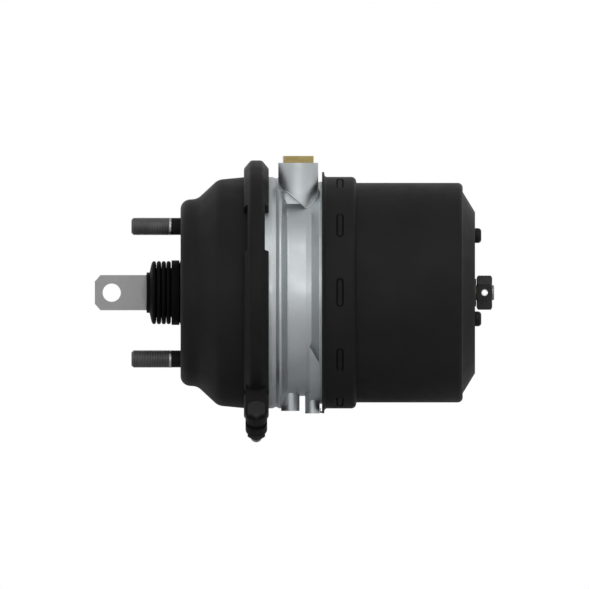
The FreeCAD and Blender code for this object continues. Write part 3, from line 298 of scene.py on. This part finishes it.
def hexagon(name, start, end, flats, bore, first_angle, chamfers=(1.0, 1.0)):
    """Hexagon block along X with turned chamfers at its ends and a round bore."""
    corner = flats / 2 / math.cos(math.pi / 6)
    vertices = []
    for x, chamfer, into, at_end in ((start, chamfers[0], 1, True), (start, chamfers[0], 1, False),
                                     (end, chamfers[1], -1, False), (end, chamfers[1], -1, True)):
        limit = corner - CHAMFER_SLOPE * chamfer
        for k in range(HEXAGON_SIDES):
            angle = 2 * math.pi * k / HEXAGON_SIDES
            local = (angle - first_angle + math.pi / 6) % (math.pi / 3) - math.pi / 6
            radius = flats / 2 / math.cos(math.pi / 6 - abs(local))
            if at_end:
                vertices.append(around(x, min(radius, limit), angle))
            else:
                drop = max(0.0, radius - limit) / CHAMFER_SLOPE
                vertices.append(around(x + into * drop, radius, angle))
    for x in (end, start):
        vertices += [around(x, bore, 2 * math.pi * k / HEXAGON_SIDES) for k in range(HEXAGON_SIDES)]
    return make_object(name, vertices, strip_faces(6, HEXAGON_SIDES, ring=True), sharp=20)


def cut_away(piece, *tools):
    """Cut holes in a piece with closed tool meshes, then remove the tools."""
    for tool in tools:
        modifier = piece.modifiers.new("cut", "BOOLEAN")
        modifier.operation = "DIFFERENCE"
        modifier.object = tool
        modifier.solver = "EXACT"
    graph = bpy.context.evaluated_depsgraph_get()
    mesh = bpy.data.meshes.new_from_object(piece.evaluated_get(graph))
    piece.modifiers.clear()
    piece.data = mesh
    for tool in tools:
        bpy.data.objects.remove(tool)
    mesh.shade_smooth()
    mesh.set_sharp_from_angle(angle=math.radians(35))


def stand_up(piece, place):
    """Turn a piece made along X so that it points up, and put it in its place."""
    piece.data.transform(Matrix.Translation(Vector(place) * MM) @ Matrix.Rotation(-math.pi / 2, 4, "Y"))


def across(piece, place, turn=0.0):
    """Turn a piece made along X so that it points away from the camera, then about the axis."""
    move = Matrix.Translation(Vector(place) * MM) @ Matrix.Rotation(math.pi / 2, 4, "Z")
    piece.data.transform(Matrix.Rotation(turn, 4, "X") @ move)


# Materials

def node_material(name, metallic=0.0, specular=0.5):
    """Material with a node tree, and its Principled shader."""
    material = bpy.data.materials.new(name)
    material.use_nodes = True
    shader = material.node_tree.nodes["Principled BSDF"]
    shader.inputs["Metallic"].default_value = metallic
    shader.inputs["Specular IOR Level"].default_value = specular
    return material, material.node_tree, shader


def noise(tree, scale, detail=4.0, stretch=(1, 1, 1)):
    """Noise in the object's own space, stretched along its axes."""
    place = tree.nodes.new("ShaderNodeTexCoord")
    mapping = tree.nodes.new("ShaderNodeMapping")
    mapping.inputs["Scale"].default_value = stretch
    texture = tree.nodes.new("ShaderNodeTexNoise")
    texture.inputs["Scale"].default_value = scale
    texture.inputs["Detail"].default_value = detail
    tree.links.new(place.outputs["Object"], mapping.inputs["Vector"])
    tree.links.new(mapping.outputs["Vector"], texture.inputs["Vector"])
    return texture.outputs["Fac"]


def ramp(tree, factor, stops):
    """Colour ramp from (position, colour) pairs. A colour may be one grey number."""
    node = tree.nodes.new("ShaderNodeValToRGB")
    elements = node.color_ramp.elements
    while len(elements) < len(stops):
        elements.new(0.5)
    for element, (position, colour) in zip(elements, stops):
        element.position = position
        element.color = (colour,) * 3 + (1,) if isinstance(colour, float) else (*colour, 1)
    tree.links.new(factor, node.inputs["Fac"])
    return node.outputs["Color"]


def multiply(tree, first, second):
    """Product of two colours."""
    node = tree.nodes.new("ShaderNodeMix")
    node.data_type = "RGBA"
    node.blend_type = "MULTIPLY"
    sockets = {one.identifier: one for one in node.inputs}
    sockets["Factor_Float"].default_value = 1.0
    tree.links.new(first, sockets["A_Color"])
    tree.links.new(second, sockets["B_Color"])
    return next(one for one in node.outputs if one.identifier == "Result_Color")


def add_bumps(tree, shader, heights):
    """Chain bumps from (height socket, strength, distance in millimetres)."""
    normal = None
    for height, strength, distance in heights:
        bump = tree.nodes.new("ShaderNodeBump")
        bump.inputs["Strength"].default_value = strength
        bump.inputs["Distance"].default_value = distance * MM
        tree.links.new(height, bump.inputs["Height"])
        if normal:
            tree.links.new(normal, bump.inputs["Normal"])
        normal = bump.outputs["Normal"]
    tree.links.new(normal, shader.inputs["Normal"])


def surface(name, stops, scale, rough, metallic=0.0, bumps=(), stretch=(1, 1, 1), specular=0.5, grain=None):
    """Material with mottled colour, uneven roughness and bumps of (scale, strength, distance)."""
    material, tree, shader = node_material(name, metallic, specular)
    colour = ramp(tree, noise(tree, scale, 5.0, stretch), stops)
    if grain:
        grain_scale, amount = grain
        speckle = ramp(tree, noise(tree, grain_scale, 2.0), [(0.3, 1.0 - amount), (0.7, 1.0)])
        colour = multiply(tree, colour, speckle)
    tree.links.new(colour, shader.inputs["Base Color"])
    unevenness = ramp(tree, noise(tree, scale * 3, 4.0, stretch), [(0.3, rough[0]), (0.7, rough[1])])
    tree.links.new(unevenness, shader.inputs["Roughness"])
    add_bumps(tree, shader, [(noise(tree, bump_scale, 3.0, stretch), strength, distance)
                             for bump_scale, strength, distance in bumps])
    return material


def grey(value):
    """Neutral grey with a trace of blue."""
    return (value, value, value * 1.01)


BLACK_PAINT = surface(
    "black_paint", [(0.3, grey(0.0115)), (0.5, grey(0.013)), (0.72, grey(0.0145))], 26, (0.5, 0.58),
    bumps=((420, 0.12, 0.25), (60, 0.1, 0.5)), specular=0.1)
BAND_PAINT = surface(
    "band_paint", [(0.3, grey(0.0085)), (0.7, grey(0.0115))], 30, (0.44, 0.54),
    bumps=((480, 0.15, 0.25), (50, 0.1, 0.5)), specular=0.11)
BLACK_STEEL = surface(
    "black_steel", [(0.3, grey(0.012)), (0.7, grey(0.018))], 60, (0.32, 0.46),
    bumps=((700, 0.2, 0.15),), specular=0.25)
RUBBER = surface(
    "black_rubber", [(0.3, grey(0.0022)), (0.7, grey(0.0042))], 90, (0.5, 0.66),
    bumps=((900, 0.25, 0.12), (120, 0.1, 0.3)), specular=0.08)
PLASTIC = surface(
    "black_plastic", [(0.3, grey(0.006)), (0.7, grey(0.008))], 120, (0.38, 0.5),
    bumps=((1400, 0.15, 0.06),), specular=0.2)
PALE_PLASTIC = surface(
    "pale_plastic", [(0.3, (0.72, 0.69, 0.6)), (0.7, (0.8, 0.78, 0.7))], 80, (0.35, 0.5),
    bumps=((900, 0.1, 0.08),))
ALUMINIUM = surface(
    "cast_aluminium",
    [(0.25, (0.52, 0.55, 0.57)), (0.5, (0.6, 0.635, 0.65)), (0.8, (0.66, 0.695, 0.71))], 22, (0.38, 0.5),
    metallic=1.0, bumps=((900, 0.35, 0.12), (160, 0.2, 0.25)), grain=(1500, 0.1))
MACHINED_ALUMINIUM = surface(
    "machined_aluminium", [(0.3, (0.6, 0.62, 0.63)), (0.7, (0.7, 0.72, 0.73))], 40, (0.25, 0.35),
    metallic=1.0, bumps=((260, 0.2, 0.05),), stretch=(12, 1, 1))
EYE_STEEL = surface(
    "grey_steel", [(0.3, grey(0.345)), (0.5, grey(0.36)), (0.75, grey(0.375))], 45, (0.5, 0.58),
    metallic=0.6, bumps=((800, 0.15, 0.08), (90, 0.08, 0.2)), grain=(1200, 0.06))
ZINC = surface(
    "zinc", [(0.3, (0.25, 0.25, 0.25)), (0.7, (0.31, 0.31, 0.31))], 90, (0.26, 0.38),
    metallic=1.0, bumps=((900, 0.05, 0.04),))
THREAD_STEEL = surface(
    "thread_steel", [(0.3, grey(0.1)), (0.7, grey(0.14))], 90, (0.4, 0.5),
    metallic=0.9, bumps=((900, 0.04, 0.03),))
BRONZE = surface(
    "dark_bronze", [(0.3, (0.09, 0.078, 0.045)), (0.7, (0.13, 0.11, 0.062))], 70, (0.4, 0.5),
    metallic=1.0, bumps=((800, 0.1, 0.05),))
BRIGHT_STEEL = surface(
    "bright_steel", [(0.3, (0.5, 0.5, 0.51)), (0.7, (0.62, 0.62, 0.63))], 70, (0.25, 0.4),
    metallic=1.0, bumps=((700, 0.1, 0.06),), stretch=(8, 1, 1))
CHROME = surface(
    "chromed_steel", [(0.3, (0.68, 0.69, 0.7)), (0.7, (0.76, 0.77, 0.78))], 50, (0.08, 0.16),
    metallic=1.0, bumps=((900, 0.05, 0.03),))
SPRING_STEEL = surface(
    "spring_steel", [(0.3, (0.03, 0.03, 0.034)), (0.7, (0.055, 0.055, 0.06))], 60, (0.38, 0.52),
    metallic=0.5, bumps=((600, 0.2, 0.1),))
BRASS = surface(
    "brass", [(0.25, (0.36, 0.28, 0.115)), (0.6, (0.44, 0.35, 0.15)), (0.85, (0.5, 0.4, 0.18))], 70,
    (0.3, 0.42), metallic=1.0, bumps=((800, 0.15, 0.06),), stretch=(1, 1, 6))


def dress(pieces, material, body="housing", replaced=None):
    """Paint pieces, let them ride on a body, and hide the CAD node that they replace."""
    for piece in pieces:
        piece.data.materials.clear()
        piece.data.materials.append(material)
        if body:
            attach(piece, body)
    if replaced:
        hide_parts(replaced)


# Service chamber

def service_chamber():
    """Pressed cup with its neck, stud holes and breathers."""
    outline = divided(rounded([
        (-NECK_LENGTH, NECK_RADIUS - WALL), (-NECK_LENGTH, NECK_RADIUS), (0, NECK_RADIUS, NECK_BEND),
        (0, FACE_RADIUS, FACE_BEND), (CONE_START, CONE_FOOT, CONE_BEND), (CONE_END, CONE_TOP, CONE_BEND),
        (FLANGE_FRONT, MOUTH_RADIUS, 0.6), (FLANGE_FRONT, FLANGE_RADIUS, 0.4),
        (FLANGE_FRONT + WALL, FLANGE_RADIUS, 0.4), (FLANGE_FRONT + WALL, MOUTH_RADIUS - WALL, WALL),
        (CONE_END + CONE_SHIFT, CONE_TOP - WALL, CONE_BEND - WALL),
        (CONE_START + CONE_SHIFT, CONE_FOOT - WALL, CONE_BEND + WALL),
        (WALL, FACE_RADIUS - WALL, FACE_BEND - WALL), (WALL, NECK_RADIUS - WALL, NECK_BEND + WALL),
    ], 8), 9)
    shell = lathe("service_chamber", outline)
    holes = [plug("stud_hole", FACE_CUT, STUD_PRESS_RADIUS + 0.1, 48, off_axis(STUD_SPACING / 2, turn))
             for turn in (0, math.pi)]
    holes += [plug("breather", FACE_CUT, BREATHER_RADIUS, 32,
                   off_axis(BREATHER_CIRCLE, math.pi * (2 * k + 1) / BREATHERS)) for k in range(BREATHERS)]
    cut_away(shell, *holes)
    dress([shell], BLACK_PAINT, replaced="service_housing")


def studs():
    """Two studs, each with its thread, a bright run-out ring, and a painted shank with its head."""
    threads, runouts, shanks = [], [], []
    ring_front = -STUD_SHANK_LENGTH - STUD_RUNOUT
    for side, turn in (("upper", 0), ("lower", math.pi)):
        centre = off_axis(STUD_SPACING / 2, turn)
        threads.append(threaded(f"{side}_stud_thread", -STUD_REACH, ring_front, STUD_RADIUS, STUD_PITCH,
                                centre, depth=STUD_THREAD_DEPTH, chamfer=STUD_CHAMFER))
        runouts.append(lathe(f"{side}_stud_runout", rounded([
            (ring_front, ON_AXIS), (ring_front, STUD_RADIUS, 0.3), (-STUD_SHANK_LENGTH, STUD_RADIUS, 0.3),
            (-STUD_SHANK_LENGTH, ON_AXIS)]), 64, centre))
        shanks.append(lathe(f"{side}_stud_shank", rounded([
            (-STUD_SHANK_LENGTH, ON_AXIS), (-STUD_SHANK_LENGTH, STUD_SHANK_RADIUS, 0.3),
            (0, STUD_SHANK_RADIUS), (0, STUD_PRESS_RADIUS), (STUD_HEAD_FRONT, STUD_PRESS_RADIUS),
            (STUD_HEAD_FRONT, STUD_HEAD_RADIUS, 0.6), (STUD_HEAD_BACK, STUD_HEAD_RADIUS, 1.2),
            (STUD_HEAD_BACK, ON_AXIS)]), 64, centre))
    dress(threads, THREAD_STEEL, replaced="mounting_studs")
    dress(runouts, BRIGHT_STEEL)
    dress(shanks, BLACK_PAINT)


def boot():
    """Rubber bellows between the housing's neck and the push rod."""
    def fold_at(x):
        """Radius of the outside at a place along the folds."""
        phase = ((x - BOOT_FIRST_FOLD) / BOOT_FOLD_PITCH + 0.5) % 1.0 - 0.5
        bulge = max(0.0, 1 - (abs(phase) * 2) ** BOOT_FOLD_FLANK) ** BOOT_FOLD_CROWN
        return BOOT_GROOVE_RADIUS + (BOOT_FOLD_RADIUS - BOOT_GROOVE_RADIUS) * bulge

    first_slit = BOOT_FIRST_FOLD + BOOT_FOLD_PITCH / 2
    last_slit = BOOT_FIRST_FOLD + (BOOT_FOLDS - 0.5) * BOOT_FOLD_PITCH
    outline = rounded([(BOOT_COLLAR_FRONT, BOOT_ROD_BORE, 0.3), (BOOT_COLLAR_FRONT, BOOT_COLLAR_RADIUS, 0.5),
                       (BOOT_COLLAR_BACK, BOOT_COLLAR_RADIUS)], 20)
    outline += [Vector(corner) for corner in BOOT_SHOULDER]
    for angle in range(-75, 76, 15):
        bend = BOOT_FOLD_BEND * Vector((math.sin(math.radians(angle)), math.cos(math.radians(angle)) - 1))
        outline.append(Vector((BOOT_FIRST_FOLD, BOOT_FOLD_RADIUS)) + bend)
    outline.append(Vector((first_slit - BOOT_LIP, BOOT_LIP_RADIUS)))
    for k in range((BOOT_FOLDS - 1) * BOOT_FOLD_STEPS):
        x = first_slit + BOOT_FOLD_PITCH * k / BOOT_FOLD_STEPS
        outline.append(Vector((x, fold_at(x))))
    outline += [Vector((last_slit, BOOT_GROOVE_RADIUS)), Vector((BOOT_BASE_FRONT, BOOT_GROOVE_RADIUS + 1))]
    collar_inside = BOOT_COLLAR_BACK + BOOT_COLLAR_WALL
    outline += rounded([(BOOT_BASE_FRONT, BOOT_GROOVE_RADIUS + 1), (BOOT_BASE_FRONT, BOOT_BASE_RADIUS, 0.7),
                        (-BOOT_GAP, BOOT_BASE_RADIUS, 0.4), (-NECK_BEND - BOOT_GAP, NECK_RADIUS + BOOT_GAP),
                        (-NECK_LENGTH, NECK_RADIUS + BOOT_GAP), (-NECK_LENGTH - BOOT_GAP, BOOT_BORE),
                        (collar_inside, BOOT_BORE), (collar_inside, BOOT_ROD_BORE)], 20)[1:]
    bellows = lathe("boot_bellows", outline, 128)
    dress([bellows], RUBBER, body=None, replaced="boot")
    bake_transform(bellows)


def diaphragm():
    """Rubber sheet, its bead held in the flange."""
    outline = rounded([
        (BEAD_FRONT, BEAD_INNER, 0.8), (BEAD_FRONT, BEAD_OUTER, 0.8), (BEAD_BACK, BEAD_OUTER, 0.8),
        (BEAD_BACK, BEAD_INNER, 0.6), (DIAPHRAGM_BACK, DIAPHRAGM_FLAT, 3.0),
        (DIAPHRAGM_BACK, DIAPHRAGM_CENTRE), (DIAPHRAGM_FRONT, DIAPHRAGM_CENTRE),
        (DIAPHRAGM_FRONT, DIAPHRAGM_FLAT, 1.0), DIAPHRAGM_WALL[0], (*DIAPHRAGM_WALL[1], 0.6)])
    sheet = lathe("rolling_diaphragm", divided(outline, 3.0), 128)
    dress([sheet], RUBBER, body=None, replaced="service_diaphragm")
    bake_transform(sheet)


def clamp_hardware():
    """Bolt and nut of the clamp band, across the gap between its lugs."""
    head = hexagon("clamp_bolt_head", -LUG_REACH - BOLT_HEAD, -LUG_REACH, BOLT_FLATS, 0.05, 0,
                   chamfers=(1.0, 0.1))
    nut = hexagon("clamp_nut_body", LUG_REACH, LUG_REACH + BOLT_NUT, BOLT_FLATS, NUT_BORE, 0,
                  chamfers=(0.1, 1.0))
    shank = threaded("clamp_bolt_thread", -LUG_REACH, BOLT_TIP, BOLT_RADIUS, BOLT_PITCH, both_ends=True)
    for piece, material, node in ((head, BLACK_STEEL, "clamp_bolt"), (nut, BLACK_STEEL, "clamp_nut"),
                                  (shank, ZINC, None)):
        across(piece, (BAND_MIDDLE, 0, -BOLT_CIRCLE), -LUG_TURN)
        dress([piece], material, replaced=node)


# Centre body

def boss_feet():
    """Thin cast bead along the foot of each port boss."""
    def body_radius(x):
        """Radius of the casting at a place along the axis."""
        for (start, low), (end, high) in zip(BODY_PROFILE, BODY_PROFILE[1:]):
            if x <= end:
                return low + (high - low) * (x - start) / (end - start)
        return BODY_PROFILE[-1][1]

    (start, top), (end, bottom) = UNDERCUT
    beads = []
    for side, sign in (("near", -1), ("far", 1)):
        path = []
        for k in range(BOSS_BEAD_STEPS + 1):
            turn = BOSS_BEAD_FROM + (BOSS_BEAD_TO - BOSS_BEAD_FROM) * k / BOSS_BEAD_STEPS
            along = BOSS_RADIUS * math.cos(math.pi * turn)
            x = PORT_PLACE + along
            y = PORT_SPACING / 2 + math.sqrt(BOSS_RADIUS ** 2 - along ** 2)
            z = math.sqrt(body_radius(x) ** 2 - y ** 2)
            if x < end:
                z = max(z, top - (top - bottom) * max(0.0, x - start) / (end - start))
            path.append(Vector((x, sign * y, z)))
        for _ in range(BOSS_BEAD_SMOOTHING):
            middle = [(a + 2 * b + c) / 4 for a, b, c in zip(path, path[1:], path[2:])]
            path = [path[0], *middle, path[-1]]
        beads.append(tube_along(f"{side}_boss_bead", path, BOSS_BEAD, 12))
    dress(beads, ALUMINIUM)


def port_adapters():
    """Hexagon, spigot and female thread of each brass adapter."""
    pieces = []
    for side, sign in (("near", -1), ("far", 1)):
        head = hexagon(f"{side}_adapter_hexagon", 0, ADAPTER_HEIGHT, ADAPTER_FLATS, ADAPTER_BORE,
                       math.pi / 2 - sign * ADAPTER_TURN, chamfers=(0.05, 0.35))
        spigot = lathe(f"{side}_adapter_spigot", [
            (-ADAPTER_SPIGOT_LENGTH, ADAPTER_BORE), (-ADAPTER_SPIGOT_LENGTH, ADAPTER_SPIGOT_RADIUS),
            (0, ADAPTER_SPIGOT_RADIUS), (0, ADAPTER_BORE)], 48)
        bore = threaded(f"{side}_adapter_thread", -ADAPTER_SPIGOT_LENGTH,
                        ADAPTER_HEIGHT - ADAPTER_COUNTERSINK, PORT_BORE, PORT_PITCH, inside=True)
        for piece in (head, spigot, bore):
            stand_up(piece, (PORT_PLACE, sign * PORT_SPACING / 2, PORT_TOP))
            pieces.append(piece)
    dress(pieces, BRASS, replaced="port_adapters")


# Spring chamber

def dented(x, radius, angle):
    """Press the locking dents into the skirt, each with a groove round its floor."""
    if not SKIRT_RADIUS - WALL - 0.6 < radius < SKIRT_RADIUS + 0.6:
        return x, radius
    step = 2 * math.pi / DENTS
    offset = (angle - math.pi / 2 + step / 2) % step - step / 2
    half = DENT_WIDTH / 2
    beyond = max(0.0, abs(offset) * SKIRT_RADIUS - (DENT_LENGTH / 2 - half))
    inside = half - math.hypot(x - DENT_PLACE, beyond)
    edge = min(1.0, max(0.0, (inside - DENT_EDGE_START) / DENT_EDGE_WIDTH))
    groove = GROOVE_DEPTH * max(0.0, 1 - abs(inside - GROOVE_PLACE) / GROOVE_HALF_WIDTH)
    flat_floor = (SKIRT_RADIUS - DENT_DEPTH) / math.cos(offset)
    return x, radius - max(0.0, SKIRT_RADIUS - flat_floor) * edge - groove


def spring_chamber():
    """Drawn barrel with its rim, dented skirt and dished end."""
    outer_rows = [(DENT_PLACE + row, SKIRT_RADIUS) for row in DENT_ROWS]
    inner_rows = [(DENT_PLACE - row, SKIRT_RADIUS - WALL) for row in DENT_ROWS]
    outline = divided(rounded([
        (RIM_FRONT, RIM_RADIUS, 0.8), (RIM_FRONT + RIM_THICKNESS, RIM_RADIUS, 0.8),
        (RIM_FRONT + RIM_THICKNESS, SKIRT_RADIUS, RIM_BEND), *outer_rows,
        (SKIRT_END, SKIRT_RADIUS, 4.5), (SKIRT_END, BARREL_RADIUS, 0.7),
        (BARREL_END, BARREL_RADIUS, 4.6), (BARREL_END, DISH_RADIUS, 1.4), (DISH_END, DISH_FLAT, 1.5),
        (DISH_END, END_HOLE), (DISH_END - WALL, END_HOLE), (DISH_END - WALL, DISH_FLAT - DISH_SHIFT),
        (BARREL_END - WALL, DISH_RADIUS - DISH_SHIFT), (BARREL_END - WALL, BARREL_RADIUS - WALL, 1.6),
        (SKIRT_END - WALL, BARREL_RADIUS - WALL, 3.5), (SKIRT_END - WALL, SKIRT_RADIUS - WALL, 1.5),
        *inner_rows, (RIM_FRONT, SKIRT_RADIUS - WALL, RIM_BEND + WALL),
    ], 10), 12)
    shell = lathe("spring_chamber", outline, 1080, shape=dented)
    cut_away(shell, *(plug("vent_hole", VENT_CUT, VENT_STEM_RADIUS + 0.1, 32,
                           off_axis(VENT_CIRCLE, math.radians(turn))) for turn in VENT_TURNS))
    dress([shell], BLACK_PAINT, replaced="spring_housing")


def vents():
    """Domed breather plugs in the end wall."""
    top = DISH_END + VENT_HEIGHT
    stem_end, stem_radius = DISH_END - VENT_STEM_LENGTH, VENT_STEM_RADIUS - 0.2
    plugs = []
    for number, turn in enumerate(VENT_TURNS, start=1):
        plugs.append(lathe(f"vent_plug_{number}", rounded([
            (stem_end, ON_AXIS), (stem_end, stem_radius, 0.5), (DISH_END, stem_radius),
            (DISH_END, VENT_RADIUS, 0.4), (top, VENT_RADIUS, 3.0), (top, VENT_DIMPLE_RADIUS, 0.3),
            (top - VENT_DIMPLE_DEPTH, VENT_DIMPLE_FLOOR, 0.3), (top - VENT_DIMPLE_DEPTH, ON_AXIS),
        ], 12), 64, off_axis(VENT_CIRCLE, math.radians(turn))))
    dress(plugs, PLASTIC, replaced="vent_plugs")


def release_end():
    """Release screw, its plain end, and the hexagon pinned on it."""
    block = hexagon("release_hexagon", HEX_FRONT, HEX_BACK, HEX_FLATS, SCREW_RADIUS + 0.2, 0,
                    chamfers=(1.2, 1.2))
    screw = threaded("release_screw_thread", SCREW_FRONT, SCREW_PLAIN_FRONT, SCREW_RADIUS, SCREW_PITCH,
                     depth=0.3)
    tip = lathe("release_screw_end", rounded([
        (SCREW_PLAIN_FRONT, ON_AXIS), (SCREW_PLAIN_FRONT, SCREW_RADIUS - 0.3),
        (SCREW_BACK, SCREW_RADIUS, 1.4), (SCREW_BACK, ON_AXIS)]), 64)
    for piece in (block, tip):
        drill = plug("pin_drill", PIN_CUT, PIN_RADIUS, 40)
        across(drill, (PIN_PLACE, 0, 0))
        cut_away(piece, drill)
    dress([block], BLACK_STEEL, "release_screw", "release_hex")
    dress([screw, tip], ZINC, "release_screw", "release_screw")


def springs():
    """Power spring and return spring, as coils that fill the boxes of their CAD nodes."""
    low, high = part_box("power_spring")
    coil = spring("power_coil", low.x / MM + POWER_WIRE, high.x / MM - POWER_WIRE,
                  POWER_RADIUS, POWER_RADIUS, POWER_TURNS, POWER_WIRE)
    dress([coil], SPRING_STEEL, body=None, replaced="power_spring")
    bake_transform(coil)
    low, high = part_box("return_spring")
    coil = spring("return_coil", low.x / MM + RETURN_WIRE, high.x / MM - RETURN_WIRE,
                  RETURN_FRONT, RETURN_BACK, RETURN_TURNS, RETURN_WIRE)
    dress([coil], SPRING_STEEL, body=None, replaced="return_spring")
    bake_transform(coil)


# CAD nodes that are shown as they are
KEPT = {
    "stud_backing_plate": ZINC,
    "clamp_band": BAND_PAINT,
    "centre_body": ALUMINIUM,
    "housing_seal": RUBBER,
    "lock_tab": BLACK_PAINT,
    "thrust_washer": BRONZE,
    "end_bush": BRASS,
    "spring_seat": ZINC,
    "tube_guide_bush": PALE_PLASTIC,
    "tube_seals": RUBBER,
    "push_rod_eye": EYE_STEEL,
    "push_rod": ZINC,
    "push_plate": ZINC,
    "spring_piston": MACHINED_ALUMINIUM,
    "piston_seal": RUBBER,
    "piston_guide_ring": PALE_PLASTIC,
    "piston_tube": CHROME,
    "tube_end_cap": PALE_PLASTIC,
    "release_pin": BRIGHT_STEEL,
    "release_nut": BRASS,
}

service_chamber()
studs()
boot()
clamp_hardware()
boss_feet()
port_adapters()
spring_chamber()
vents()
release_end()
diaphragm()
springs()
for node, material in KEPT.items():
    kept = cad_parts[node]
    kept.data.materials.clear()
    kept.data.materials.append(material)


# Studio

def floor():
    """Plain pale floor."""
    corners = [(-FLOOR_HALF, -FLOOR_HALF, FLOOR), (FLOOR_HALF, -FLOOR_HALF, FLOOR),
               (FLOOR_HALF, FLOOR_HALF, FLOOR), (-FLOOR_HALF, FLOOR_HALF, FLOOR)]
    plane = make_object("floor", corners, [(0, 1, 2, 3)])
    material, tree, shader = node_material("pale_floor")
    tree.links.new(ramp(tree, noise(tree, 3.0), [(0.3, 0.68), (0.7, 0.72)]), shader.inputs["Base Color"])
    shader.inputs["Roughness"].default_value = 0.9
    plane.data.materials.append(material)


def area_light(name, place, target, size, power):
    """Soft lamp at a place in metres, turned to its target."""
    data = bpy.data.lights.new(name, "AREA")
    data.shape = "RECTANGLE"
    data.size, data.size_y = size
    data.energy = power
    light = bpy.data.objects.new(name, data)
    light.location = place
    light.rotation_euler = (Vector(target) - Vector(place)).to_track_quat("-Z", "Y").to_euler()
    bpy.context.scene.collection.objects.link(light)


def studio_world():
    """White at the horizon, greyer overhead."""
    world = bpy.data.worlds.new("studio")
    world.use_nodes = True
    tree = world.node_tree
    place = tree.nodes.new("ShaderNodeTexCoord")
    split = tree.nodes.new("ShaderNodeSeparateXYZ")
    tree.links.new(place.outputs["Generated"], split.inputs["Vector"])
    sky = ramp(tree, split.outputs["Z"], [(0.0, 1.0), (0.1, 1.0), (0.5, 0.7), (1.0, 0.55)])
    tree.links.new(sky, tree.nodes["Background"].inputs["Color"])
    tree.nodes["Background"].inputs["Strength"].default_value = 1.0
    bpy.context.scene.world = world


def side_camera():
    """Camera of the photograph, straight from the side."""
    data = bpy.data.cameras.new("camera")
    data.type = "ORTHO"
    data.ortho_scale = CAMERA_WIDTH * MM
    camera = bpy.data.objects.new("camera", data)
    camera.location = Vector((CAMERA_PLACE, -CAMERA_DISTANCE, CAMERA_HEIGHT)) * MM
    camera.rotation_euler = (math.pi / 2, 0, 0)
    bpy.context.scene.collection.objects.link(camera)
    bpy.context.scene.camera = camera


floor()
studio_world()
aim = (CAMERA_PLACE * MM, 0, 0)
area_light("key", (0.55, -1.0, 1.1), aim, (0.9, 0.5), 3)
area_light("front", (0.1, -1.6, 0.25), aim, (1.2, 0.4), 1.5)
side_camera()
bpy.context.scene.view_settings.view_transform = "Standard"
